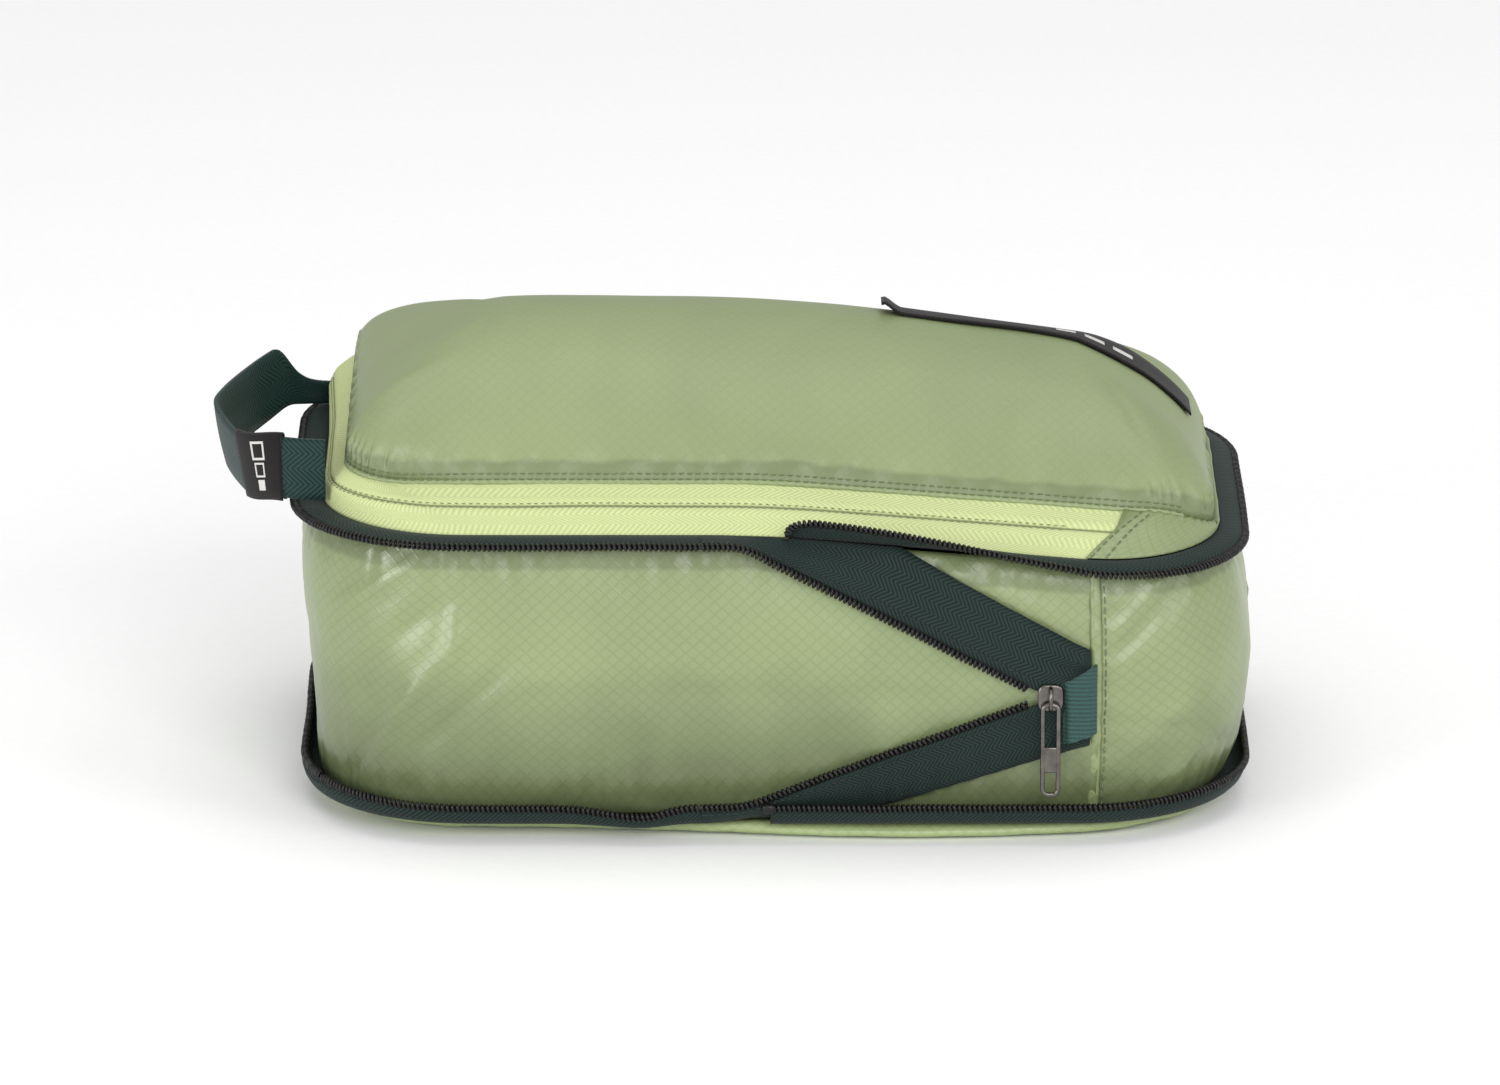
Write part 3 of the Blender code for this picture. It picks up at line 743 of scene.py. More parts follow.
# creases on the front and the ends, as (start, end, width, depth) in x or y and height
FRONT_FOLDS = (
    ((-108.0, 40.0), (-86.0, 66.0), 3.2, -0.9),
    ((-99.0, 30.0), (-80.0, 58.0), 2.6, 0.8),
    ((-92.0, 24.0), (-66.0, 52.0), 2.8, -0.8),
    ((-112.0, 58.0), (-92.0, 76.0), 2.2, 0.7),
    ((-86.0, 60.0), (-78.0, 74.0), 1.8, -0.6),
    ((-104.0, 20.0), (-90.0, 44.0), 2.4, 0.7),
    ((-110.0, 12.0), (-98.0, 34.0), 2.2, -0.7),
    ((-76.0, 38.0), (-58.0, 46.0), 2.4, 0.5),
    ((-82.0, 70.0), (-84.0, 34.0), 1.8, 0.6),
    ((-70.0, 41.5), (62.0, 39.5), 2.6, -0.32),
    ((-30.0, 10.0), (-24.0, 34.0), 3.0, 0.4),
    ((12.0, 60.0), (44.0, 36.0), 3.4, 0.35),
    ((24.0, 52.0), (66.0, 44.0), 2.6, -0.4),
    ((40.0, 76.0), (78.0, 60.0), 2.6, 0.4),
    ((-20.0, 78.0), (-26.0, 58.0), 2.4, 0.3),
)
END_FOLDS = (
    ((88.0, 50.0), (110.0, 72.0), 2.4, -0.9),
    ((88.0, 54.0), (104.0, 74.0), 2.0, 0.6),
    ((85.0, 33.0), (97.0, 30.5), 1.8, -0.9),
    ((97.0, 30.5), (108.0, 27.0), 1.8, -0.8),
    ((108.0, 27.0), (117.0, 18.0), 2.0, -0.7),
    ((90.0, 22.0), (112.0, 40.0), 2.6, 0.5),
    ((100.0, 12.0), (114.0, 28.0), 2.2, 0.5),
)


def wall_relief(t, z):
    """Wrinkles of the gusset at t and a height, in millimetres outward."""
    x, y, nx, ny = outline_point(RIM, t)
    run = run_of(t)
    top = gusset_top(t)
    relief = 1.1 * waver(run, z, 34.0, 1.0) + 0.55 * waver(run, z, 13.0, 2.0)
    relief += 0.16 * waver(run + 0.6 * z, z - 0.6 * run, 5.5, 3.0)
    if y < 0.0:
        for start, end, width, depth in FRONT_FOLDS if x < 84.0 else END_FOLDS:
            relief += FOLD_GAIN * fold(x, z, start, end, width, depth)
    else:
        mirrored = -0.8 * x + 6.0
        for start, end, width, depth in FRONT_FOLDS:
            relief += 0.8 * FOLD_GAIN * fold(mirrored, z, start, end, width, depth)
    relief += pucker(run, top - z, 10.0, 4.0) + 1.25 * pucker(run, z - BASE_SEAM_Z, 15.0, 5.0)
    near_seam = abs(run_of(t) - run_of(SEAM_T))
    other_seam = abs(run_of(t) - run_of(5.0 - SEAM_T))
    near_seam = min(near_seam, other_seam)
    relief += bell(near_seam, 7.0) * 0.3 * math.sin(z * 0.7 + 1.5 * waver(z, 0.0, 9.0, 6.0))
    leftwards = max(-nx, 0.0)
    height = (z - BASE_SEAM_Z) / (top - BASE_SEAM_Z)
    relief += leftwards * (1.8 * bell(height - 0.86, 0.2) - 2.8 * bell(height - 0.4, 0.3))
    hold = smooth((top - z) / 5.0) * smooth((z - BASE_SEAM_Z) / 6.0)
    return relief * hold


def wall_point(t, z, out=0.0):
    x, y, nx, ny = outline_point(RIM, t)
    reach = gusset_out(t, z) + wall_relief(t, z) + out
    return Vector((x + reach * nx, y + reach * ny, z))


def wall_panel(name, start, end, node):
    def at(j, t):
        share = mix(j / WALL_ROWS, 0.5 - 0.5 * math.cos(math.pi * j / WALL_ROWS), 0.5)
        z = mix(BASE_SEAM_Z - 0.4, gusset_top(t), share)
        cloth = 1.12 * (z - BASE_SEAM_Z) + 3.0 * bell(z - BASE_SEAM_Z, 8.0)
        return wall_point(t, z), (run_of(t) + 900.0, cloth), 1.25 * (gusset_top(t) - z)

    rows, uv, edge = grid(range(WALL_ROWS + 1), spaced(start, end, 1.6), at)
    obj = surface(name, rows, CLOTH, moss_wall, "root", uv, edge)
    flattens(obj)
    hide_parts(node)


def gusset():
    wall_panel("gusset_panel_main", 5.0 - SEAM_T - 0.01, 8.0 + SEAM_T + 0.01, "gusset_main")
    wall_panel("gusset_panel_right", SEAM_T + 0.012, 5.0 - SEAM_T - 0.012, "gusset_right_end")
    for name, t, sign in (("front", SEAM_T, 1), ("rear", 5.0 - SEAM_T, -1)):
        heights = [mix(7.5, gusset_top(t) - 1.0, step / 60) for step in range(61)]

        def at(z, k):
            run = run_of(t) + sign * mix(-1.35, 1.35, k / 5)
            return wall_point(t_of(run), z, RIDGE_SECTION[k]), (run + 300.0, z)

        rows, uv = grid(heights, range(6), at)
        ridge = surface(f"gusset_ridge_{name}", rows, 0.3, moss_base, "root", uv)
        flattens(ridge)
        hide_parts(f"gusset_seam_{name}")
        _, _, nx, ny = outline_point(RIM, t)
        beside = t_of(run_of(t) + 2.2 * sign)
        line = [(wall_point(beside, z, 0.28), Vector((nx, ny, 0.0))) for z in heights]
        flattens(stitches(f"gusset_stitches_{name}", [line], moss_thread, "root"))


# the bottom's section from the seam to the table, (out, z), where it tucks in and where it bulges
MIDDLE = (-30.0, 0.0)
TUCKED = ((0.2, 4.4), (0.4, 3.4), (-0.8, 2.2), (-3.0, 1.1), (-6.0, 0.35), (-9.5, 0.0), (-16.0, 0.0), MIDDLE)
BULGED = ((0.2, 4.4), (2.6, 3.7), (4.8, 2.5), (5.4, 1.4), (4.3, 0.5), (1.5, 0.0), (-8.0, 0.0), MIDDLE)


def bottom():
    arcs = [0.0]
    for a, b in zip(BULGED, BULGED[1:]):
        arcs.append(arcs[-1] + math.hypot(b[0] - a[0], b[1] - a[1]))

    def at(j, t):
        x, _, _, ny = outline_point(RIM, t)
        share = max(bell(x - 36.0, 66.0) * abs(ny), 0.35 * smooth((x - 60.0) / 50.0))
        point = rim_point(t, mix(TUCKED[j][0], BULGED[j][0], share))
        z = mix(TUCKED[j][1], BULGED[j][1], share)
        point.z = max(z + 0.25 * waver(run_of(t), z, 7.0, 8.0) * (0 < j < 5), 0.0)
        return point, (run_of(t), arcs[j])

    rows, uv = grid(range(len(TUCKED)), spaced(0.0, 8.0, 2.6)[:-1], at)
    # the bottom takes the lighter moss copy, which is painted light
    obj = surface("bottom_shell", rows, 0.0, moss_bottom, "root", uv, closed=True)
    work = bmesh.new()
    work.from_mesh(obj.data)
    rim = [e for e in work.edges if e.is_boundary and all(v.co.z < 0.00005 for v in e.verts)]
    made = bmesh.ops.contextual_create(work, geom=rim)
    layer = work.loops.layers.uv.active
    for face in made["faces"]:
        for loop in face.loops:
            loop[layer].uv = (loop.vert.co.x, loop.vert.co.y)
    bmesh.ops.recalc_face_normals(work, faces=work.faces)
    work.to_mesh(obj.data)
    work.free()
    thicken(obj, 0.4, offset=-1.0)
    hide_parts("bottom_panel")


# ---- compression zipper ----


TAPE_STITCHES = {"length": 1.6, "gap": 0.5}


def tape_uv(rows, ts):
    def at(j, i):
        across = sum((rows[k + 1][i] - rows[k][i]).length for k in range(j))
        return ((run_of(ts[i]) + 500.0, across),)

    return grid(range(len(rows)), range(len(ts)), at)[0]


LOWER_PROFILE = ((0.2, 4.9), (2.4, 4.75), (4.6, 4.7), (6.3, 5.2), (7.5, 6.3), (8.2, 7.7), (8.5, 9.2))
JOIN_X = -18.0  # where each flange turns into its run to the slider
JOIN_T = 8.0 + (JOIN_X + HALF_X - ROUND) / LONG
HOLD_T = 8.388  # past this the lower flange keeps its plain section


def tape_edge(rows, ts):
    """Centres of the coil along the last row of a tape, the tape's normals there, and a stitch line."""
    centres = []
    normals = []
    line = []
    for i, t in enumerate(ts):
        away = (rows[-1][i] - rows[-2][i]).normalized()
        _, _, nx, ny = outline_point(RIM, t)
        normal = Vector((-ny, nx, 0.0)).cross(away).normalized()
        normal = normal if normal.z > 0.0 or (nx * normal.x + ny * normal.y) < 0.0 else -normal
        centres.append(rows[-1][i] + away * 0.75)
        normals.append(normal)
        line.append((rows[-2][i] + normal * 0.32, normal))
    return centres, normals, line


def zipper_half(name, node, rows, ts, body):
    """The tape through these rows, with its coil along the last one and its stitches."""
    tape = surface(f"{name}_tape", rows, 0.6, dark_tape, body, tape_uv(rows, ts))
    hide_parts(f"{node}_tape")
    centres, normals, line = tape_edge(rows, ts)
    chain = coil(f"{name}_coil", coil_path(centres, normals), coil_plastic, body)
    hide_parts(f"{node}_coil")
    stitches(f"{name}_tape_stitches", [line], dark_thread, body, **TAPE_STITCHES)
    return centres


def lower_zip():
    ts = spaced(0.5, JOIN_T, 1.6)
    rows = []
    for j, (out, z) in enumerate(LOWER_PROFILE):
        row = []
        for t in ts:
            run = run_of(t)
            x, _, nx, _ = outline_point(RIM, t)
            share = j / (len(LOWER_PROFILE) - 1) * smooth((HOLD_T - t) / 0.1)
            dip = 1.6 * bell(x + 34.0, 14.0) * (1.0 if t > 7.9 else 0.0)
            tuck = 2.6 * max(-nx, 0.0) ** 2
            point = rim_point(t, out + share * (0.7 * waver(run, 0.0, 28.0, 11.0) + 0.9 * dip - tuck))
            point.z = z + share * (0.6 * waver(run, 0.0, 33.0, 12.0) - 1.4 * dip + 0.5 * tuck)
            row.append(point)
        rows.append(row)
    centres = zipper_half("lower", "lower_zip", rows, ts, "root")
    at = Matrix.Translation((centres[0] + Vector((-0.6, 0.0, 0.0))) * MM)
    stop = rounded_block("lower_stop", (3.2, 2.6, 2.4), 0.7, at, coil_plastic, "root")
    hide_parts("zip_stop_lower")


def flange_tilt(t):
    along = t if t > 0.5 else 8.0
    x, _, _, _ = outline_point(RIM, t)
    turned_up = 50.0 * smooth((1.12 - along) / 0.58)
    droop = mix(5.0, 15.0, smooth((x - 20.0) / 90.0)) * smooth((along - 0.55) / 0.5)
    hold = smooth((JOIN_T - t) / 0.1)
    return turned_up - droop + 4.0 * hold * waver(run_of(t), 0.0, 45.0, 13.0)


FOLD_X = 4.0  # where the turned-up end of the upper tape dives into the seam
FOLD_T = (FOLD_X + HALF_X - ROUND) / LONG


def upper_zip():
    ts = spaced(FOLD_T, FOLD_T + 0.06, 0.5)[:-1] + spaced(FOLD_T + 0.06, JOIN_T, 1.6)
    reaches = (0.2, 1.6, 3.2, 4.8, 6.0, 7.0)
    rows = [[] for _ in reaches]
    for t in ts:
        tilt = math.radians(flange_tilt(t))
        ahead = min((outline_point(RIM, t)[0] - FOLD_X) / 7.0, 1.0) if t < 1.0 else 1.0
        rounded = math.sqrt(max(1.0 - (1.0 - ahead) ** 2, 0.01))
        for row, reach in zip(rows, reaches):
            bow = 0.5 * math.sin(math.pi * reach / 7.0)
            length = reach * rounded
            out = length * math.cos(tilt) - bow * math.sin(tilt)
            up = length * math.sin(tilt) + bow * math.cos(tilt) - 0.4
            row.append(rim_point(t, out, up))
    zipper_half("upper", "upper_zip", rows, ts, "upper_rim")


# each run: squash anchor height and kept share, then the toothed edge's start height, where its
# slope begins, its slope, and the other edge's slope line, all in millimetres
V_RUNS = {
    "upper": {"anchor": 24.6, "keep": 0.30, "start": 81.5, "slope_x": -8.0, "slope": -0.508, "lean": 6.8},
    "lower": {"anchor": 6.8, "keep": 0.656, "start": 9.3, "slope_x": -6.0, "slope": 0.382, "lean": 4.6},
}
V_END_X = V_RIGHT_X + 1.0


def bend(x):
    """0 to the left, x to the right, with a smooth corner."""
    corner = 7.0
    if x < -corner:
        return 0.0
    if x > corner:
        return x
    return (x + corner) ** 2 / (4.0 * corner)


def tooth_height(name, x):
    run = V_RUNS[name]
    z = run["start"] + run["slope"] * bend(x - run["slope_x"])
    if name == "upper":
        return max(z, CHAIN_Z + 1.5)
    return min(z, CHAIN_Z - 1.5)


def outer_height(name, x):
    if name == "upper":
        return min(RIM_Z - fall(x) - 0.4, 79.1 - 0.538 * (x - 34.6))
    return max(4.9, 8.2 + 0.33 * (x - 27.0))


def flange_end(name, across):
    """Reach and height of the flange's section where the run takes over, its toothed edge at across 0."""
    if name == "upper":
        tilt = math.radians(flange_tilt(JOIN_T))
        length = mix(7.0, 0.2, across)
        bow = 0.5 * math.sin(math.pi * length / 7.0)
        out = length * math.cos(tilt) - bow * math.sin(tilt)
        return out, RIM_Z - 0.4 + length * math.sin(tilt) + bow * math.cos(tilt)
    place = (1.0 - across) * (len(LOWER_PROFILE) - 1)
    low = min(int(place), len(LOWER_PROFILE) - 2)
    a = LOWER_PROFILE[low]
    b = LOWER_PROFILE[low + 1]
    return mix(a[0], b[0], place - low), mix(a[1], b[1], place - low)


def v_point(name, tooth_x, across):
    """A point of a V run, from its toothed edge, across 0, to its sewn one, across 1."""
    outer_x = min(tooth_x + V_RUNS[name]["lean"] * smooth((tooth_x - JOIN_X) / 40.0), V_END_X)
    laid = smooth((tooth_x - JOIN_X) / 52.0)
    x = mix(tooth_x, outer_x, across)
    z = mix(tooth_height(name, tooth_x), outer_height(name, outer_x), across)
    t = front_t(x)
    px, py, nx, ny = outline_point(RIM, t)
    rest = gusset_out(t, z) + wall_relief(t, z) + 0.8
    belly = 0.6 * math.sin(math.pi * across) * (0.5 + 0.7 * waver(x, across * 12.0, 16.0, 21.0))
    belly += 0.8 * bell(x - 76.0, 7.0) * math.sin(across * 9.0 + 0.6)
    flat = rest + 0.5 + max(belly, -0.3) + 0.4 * smooth((0.2 - across) / 0.2)
    start_out, start_z = flange_end(name, across)
    reach = max(mix(start_out, flat, laid), rest * smooth((x - JOIN_X) / 12.0))
    z = mix(start_z, z, smooth((tooth_x - JOIN_X) / 18.0))
    return Vector((px + reach * nx, py + reach * ny, z)), (tooth_x * 1.1 + 700.0, across * 15.0)


def v_zip(name):
    """One of the two runs that leave their flange and meet at the slider."""
    xs = [mix(JOIN_X - 0.3, V_END_X, step / 72) for step in range(73)]
    rows, uv = grid([j / 10 for j in range(11)], xs, lambda across, x: v_point(name, x, across))
    obj = surface(f"v_tape_{name}_woven", rows, 0.6, dark_tape, "root", uv)
    flattens(obj)
    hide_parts(f"v_tape_{name}")
    centres = []
    normals = []
    line = []
    for i in [i for i, x in enumerate(xs) if x < CHAIN_X - 3.5]:
        away = (rows[0][i] - rows[1][i]).normalized()
        along = (rows[0][i + 1] - rows[0][i]).normalized()
        normal = along.cross(away).normalized()
        normal = normal if normal.y < 0.0 else -normal
        centres.append(rows[0][i] + away * 0.75)
        normals.append(normal)
        line.append((rows[1][i].lerp(rows[2][i], 0.3) + normal * 0.36, normal))
    chain = coil(f"v_coil_{name}_teeth", coil_path(centres, normals), coil_plastic, "root")
    flattens(chain)
    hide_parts(f"v_coil_{name}")
    sewn = stitches(f"v_stitches_{name}", [line], dark_thread, "root", **TAPE_STITCHES)
    flattens(sewn)


def pull_loop(name, matrix, body):
    """The wire pull: a long loop, a bridging plate and the slot below it."""
    length = 26.0
    half = 2.05
    radius = 0.62
    turn = 1.5
    points = []
    corner_centres = (
        (turn, half - turn, 180.0, 90.0),
        (length - 1.3 - turn, half - turn, 90.0, 0.0),
        (length - 1.3 - turn, turn - half, 0.0, -90.0),
        (turn, turn - half, -90.0, -180.0),
    )
    for cx, cy, first, last in corner_centres:
        for step in range(7):
            angle = math.radians(mix(first, last, step / 6))
            points.append(Vector((cx + turn * math.cos(angle), cy + turn * math.sin(angle), 0.0)))
    placed = [matrix @ (p * MM) / MM for p in points]
    loop = tube(f"{name}_wire", placed, radius, gunmetal, body, closed=True, sides=12)
    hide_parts(name)
    at = matrix @ Matrix.Translation(Vector((length * 0.58, 0.0, 0.0)) * MM)
    rounded_block(f"{name}_plate", (length * 0.27, 3.6, 1.0), 0.4, at, gunmetal, body)


def slider_body(name, matrix, along, across, under_plate, body):
    """A slider: a shaped plate and a bridge for the pull, with a second plate and a wedge between them when
    under_plate is set.
    """
    outline = []
    for k in range(32):
        angle = 2.0 * math.pi * k / 32
        c = math.cos(angle)
        s = math.sin(angle)
        power = 0.55
        x = along / 2 * math.copysign(abs(c) ** power, c)
        y = across / 2 * math.copysign(abs(s) ** power, s)
        outline.append((x, y))
    work = bmesh.new()
    levels = [(0.3, 0.95), (0.5, 1.0), (1.4, 1.0), (1.75, 0.96), (1.9, 0.86)]
    rings = []
    for z, size in levels:
        rings.append([work.verts.new(Vector((x * size, y * size, z)) * MM) for x, y in outline])
    loft(work, rings)
    bmesh.ops.transform(work, matrix=matrix, verts=work.verts)
    plate = to_object(work, f"{name}_body", gunmetal, body)
    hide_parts(name)
    arch = []
    for k in range(13):
        angle = math.radians(180.0 * k / 12)
        arch.append(Vector((2.9 * math.cos(angle), 0.0, 1.6 + 3.2 * math.sin(angle) ** 0.6)))
    placed = [matrix @ (p * MM) / MM for p in arch]
    tube(f"{name}_bridge", placed, 0.55, gunmetal, body, sides=10)
    if under_plate:
        at = matrix @ Matrix.Translation(Vector((0.0, 0.0, -4.4)) * MM)
        rounded_block(f"{name}_under", (along - 1.0, across, 1.2), 0.45, at, gunmetal, body)
        at = matrix @ Matrix.Translation(Vector((0.0, 0.0, -2.0)) * MM)
        rounded_block(f"{name}_wedge", (3.0, 0.8, 5.6), 0.2, at, gunmetal, body)


def frame_at(centre, along, normal):
    z = normal.normalized()
    x = (along - z * along.dot(z)).normalized()
    y = z.cross(x)
    turn = Matrix((x, y, z)).transposed().to_4x4()
    return Matrix.Translation(centre * MM) @ turn


REAR_BAND_LEAN = 24.0342  # degrees
PULL_HINGE = Matrix.Translation(Vector((1.4, 0, 3.05)) * MM)  # in a slider's own frame


def sliders():
    middle = (SLIDER_LOW + SLIDER_HIGH) / 2
    face = Vector((middle.x, SLIDER_HIGH.y + 0.3, middle.z))
    front = frame_at(face, Vector((0, 0, -1)), Vector((0, -1, 0)))
    slider_body("compression_slider", front, 7.4, 6.8, False, "compression_slider")
    pull_loop("compression_pull", front @ PULL_HINGE, "compression_pull")
    # it lies along the falling rim, on the leaning rear band
    slope = math.atan(RIM_FALL / FALL_LENGTH)
    lean = math.radians(REAR_BAND_LEAN)
    along = Vector((-math.cos(slope), 0.0, math.sin(slope)))
    normal = Vector((math.sin(slope) * math.cos(lean), math.sin(lean), math.cos(slope) * math.cos(lean)))
    low, high = corners("main_slider")
    # the solid reaches from its under plate to its bridge along the normal
    rear = frame_at((low + high) / 2 - normal * 0.13, along, normal)
    slider_body("main_slider", rear, 9.0, 7.4, True, "main_slider")
    pull_loop("main_pull", rear @ PULL_HINGE, "main_pull")


def tab():
    """The grosgrain tab, a folded band whose fold is at its left edge."""

    def at(share_z, share_x):
        x = mix(TAB_LOW.x - 1.3, TAB_HIGH.x - 0.2, share_x)
        z = mix(mix(27.6, 30.6, share_x), mix(44.4, 49.5, share_x), share_z)
        roll = smooth((0.18 - share_x) / 0.18)
        y = TAB_HIGH.y - 2.1 - 0.5 * math.sin(math.pi * share_x) + 1.5 * roll
        y += smooth((share_x - 0.8) / 0.2) - 0.14 * math.sin(2.0 * math.pi * z / TAB_RIB)
        return Vector((x, y, z)), (x, z)

    rows, uv = grid([j / 48 for j in range(49)], [i / 12 for i in range(13)], at)
    obj = surface("tab_band", rows, 0.9, teal_rib, "root", uv)
    flattens(obj)
    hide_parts("webbing_tab")


# ---- lime zipper ----


def band_normal(t):
    return (band_point(t, 0.5, 1.0) - band_point(t, 0.5)).normalized()


def lime_band(name, near, far, body, node, tooth_first):
    """One half of the lime zipper, from near to far between the rim seam, 0, and the lid's edge, 1."""
    lines = 9
    inner = spaced(4.06, 8.94, 1.8)[1:-1]

    def columns(across):
        cut = mix(LIME_END_RIM_T, LIME_END_LID_T, across)
        return [5.0 - cut, 5.0 - cut + 0.01] + inner + [8.0 + cut - 0.01, 8.0 + cut]

    def at(across, i):
        t = columns(across)[i]
        slit = (across - near if tooth_first else far - across) * BAND_WIDTH
        dip = -0.4 * bell(slit, 0.8) + 0.2 * bell(slit - 2.2, 1.0)
        ripple = 0.28 * waver(run_of(t), across * 20.0, 21.0, 31.0)
        return band_point(t, across, dip + ripple), (run_of(t) + 400.0, slit), slit

    shares = [mix(near, far, j / lines) for j in range(lines + 1)]
    rows, uv, edge = grid(shares, range(len(inner) + 4), at)
    obj = surface(name, rows, 0.5, lime_tape, body, uv, edge)
    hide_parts(node)
    slit_row, inner_row = (rows[0], rows[1]) if tooth_first else (rows[-1], rows[-2])
    line = []
    for a, b, t in list(zip(slit_row, inner_row, columns(far)))[2:-2]:
        normal = band_normal(t)
        line.append((a.lerp(b, 0.55) + normal * 0.42, normal))
    stitches(f"{name}_stitches", [line], lime_thread, body, length=1.0, gap=0.9, radius=0.13)


def lime_zip():
    lime_band("lime_tape_rim", 0.0, 0.522, "upper_rim", "main_zip_tape_lower", False)
    lime_band("lime_tape_lid", 0.534, 1.0, "lid", "main_zip_tape_upper", True)
    ts = spaced(4.12, 8.88, 2.0)
    for node, across, body in (("main_coil_lower", 0.415, "upper_rim"), ("main_coil_upper", 0.585, "lid")):
        centres = [band_point(t, across, -1.9) for t in ts]
        normals = [(band_point(t, across, 1.0) - band_point(t, across)).normalized() for t in ts]
        chain = coil(f"{node}_teeth", coil_path(centres, normals), coil_plastic, body, wire=0.4, pitch=1.5)
        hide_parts(node)


# ---- lid ----


def crest(x):
    share = (x - CREST_LEFT_X) / (CREST_RIGHT_X - CREST_LEFT_X)
    arch = 2.7 * (1.0 - (min(abs(x), 90.0) / 78.0) ** 2)
    return CREST_Z + arch - CREST_FALL * min(max(share, 0.0), 1.0) ** 1.6


LID_FOLDS = (
    ((-62.0, -46.0), (-58.0, -22.0), 3.4, 0.5),
    ((-44.0, -48.0), (-30.0, -30.0), 3.0, -0.5),
    ((20.0, -48.0), (26.0, -26.0), 3.6, 0.5),
    ((60.0, -50.0), (72.0, -24.0), 3.4, -0.6),
    ((88.0, -50.0), (96.0, -18.0), 3.0, 0.6),
    ((100.0, -44.0), (84.0, -8.0), 3.0, -0.6),
    ((-106.0, -40.0), (-84.0, -26.0), 3.0, 0.6),
    ((-108.0, -14.0), (-86.0, -6.0), 3.0, -0.5),
    ((104.0, -6.0), (92.0, 20.0), 3.0, 0.5),
    ((96.0, -30.0), (112.0, -22.0), 2.6, 0.5),
)


def dome_point(t, inward):
    edge = lid_edge(t)
    spine_x = min(max(edge.x, CREST_LEFT_X), CREST_RIGHT_X)
    to_end = smooth(abs(edge.x - spine_x) / 38.0)
    steep_end = 0.38 if edge.x < 0.0 else 0.41
    side_rise = math.sin(math.pi / 2 * inward) ** 0.75
    end_rise = inward**steep_end
    rise = mix(side_rise, end_rise, to_end)
    x = mix(edge.x, spine_x, inward)
    y = mix(edge.y, 0.0, inward)
    hold = smooth(inward / 0.12)
    relief = 0.9 * waver(x, y, 42.0, 41.0) + 0.35 * waver(x, y, 15.0, 42.0)
    for start, end, width, depth in LID_FOLDS:
        relief += fold(x, y, start, end, width, depth)
    return Vector((x, y, mix(edge.z, crest(spine_x), rise) + relief * hold))


def inward_at(t, distance):
    """How far inward, as a share, the dome is this far from its edge."""
    rim = lid_edge(t)
    low = 0.0
    high = 1.0
    for _ in range(24):
        middle = (low + high) / 2.0
        if (dome_point(t, middle) - rim).length < distance:
            low = middle
        else:
            high = middle
    return high


def lid_column(t, shares):
    """From the lid's edge to its crest: for each share the point, cloth coordinates and distance."""
    rim = lid_edge(t)
    spine = Vector((min(max(rim.x, CREST_LEFT_X), CREST_RIGHT_X), 0.0, rim.z))
    outwards = (rim - spine).normalized()
    wave = math.sin(2.0 * math.pi * (run_of(t) / 9.0 + 1.1 * waver(run_of(t), 0.0, 22.0, 43.0)))
    points = []
    arcs = [0.0]
    for inward in shares:
        point = dome_point(t, inward)
        distance = (point - rim).length
        gather = 0.8 * bell(distance - 6.0, 2.8) * wave
        points.append(point + outwards * gather + Vector((0.0, 0.0, 0.3 * gather)))
    for before, after in zip(points, points[1:]):
        arcs.append(arcs[-1] + (after - before).length)
    column = []
    for point, arc in zip(points, arcs):
        cloth = outwards * (arcs[-1] - arc)
        column.append((point, (spine.x + cloth.x + 400.0, cloth.y + 300.0), arc))
    return column


LID_SOFTENING = ((60.0, 4), (24.0, 10))  # how near the crest line in Y, and how many times


def soften(obj, passes):
    """Evens out the dome away from its edge."""
    work = bmesh.new()
    work.from_mesh(obj.data)
    distance = work.verts.layers.float["edge"]
    axes = {f"use_axis_{axis}": True for axis in "xyz"}
    for reach, times in passes:
        inner = [v for v in work.verts if v[distance] > 7.0 and abs(v.co.y) < reach * MM]
        for _ in range(times):
            bmesh.ops.smooth_vert(work, verts=inner, factor=0.5, **axes)
    work.to_mesh(obj.data)
    work.free()


def lid():
    # the rear half mirrors the front half, so that the two meet point for point along the crest
    half = spaced(6.5, 10.5, 1.7)
    shares = [(j / 40) ** 1.7 for j in range(41)]
    columns = [lid_column(t, shares) for t in half[:-1] + [21.0 - t for t in reversed(half)][:-1]]
    rows, uv, edge = grid(range(len(shares)), columns, lambda j, column: column[j])
    obj = surface("lid_dome", rows, 0.0, moss_lid, "lid", uv, edge, closed=True)
    soften(obj, LID_SOFTENING)
    thicken(obj, CLOTH)
    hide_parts("lid_panel")
    lid_hem()


def lid_hem():
    """A folded lip that stands a little proud of the lime tape, with two rows of topstitching above it."""
    section = ((0.3, -0.6), (0.55, 0.0), (0.35, 0.5), (-0.3, 0.9))
    ts = spaced(3.9, 9.35, 1.7)

    def at(k, t):
        out, up = section[k]
        _, _, nx, ny = outline_point(LID, t)
        out += 0.15 * math.sin(2.0 * math.pi * (run_of(t) / 5.4))
        return lid_edge(t) + Vector((nx * out, ny * out, up)), (run_of(t) + 400.0, k * 0.6)

    rows, uv = grid(range(len(section)), ts, at)
    surface("lid_hem", rows, 0.4, moss_base, "lid", uv)
    lines = [[], []]
    for t in ts:
        _, _, nx, ny = outline_point(LID, t)
        for line, distance in zip(lines, (0.9, 2.3)):
            inward = inward_at(t, distance)
            point = dome_point(t, inward)
            up_slope = (dome_point(t, inward * 1.2) - point).normalized()
            normal = Vector((nx, ny, 0.0))
            normal = (normal - up_slope * normal.dot(up_slope)).normalized()
            line.append((point + normal * 0.45, normal))
    stitches("lid_topstitch", lines, moss_thread, "lid", length=1.5, gap=0.7, radius=0.15)


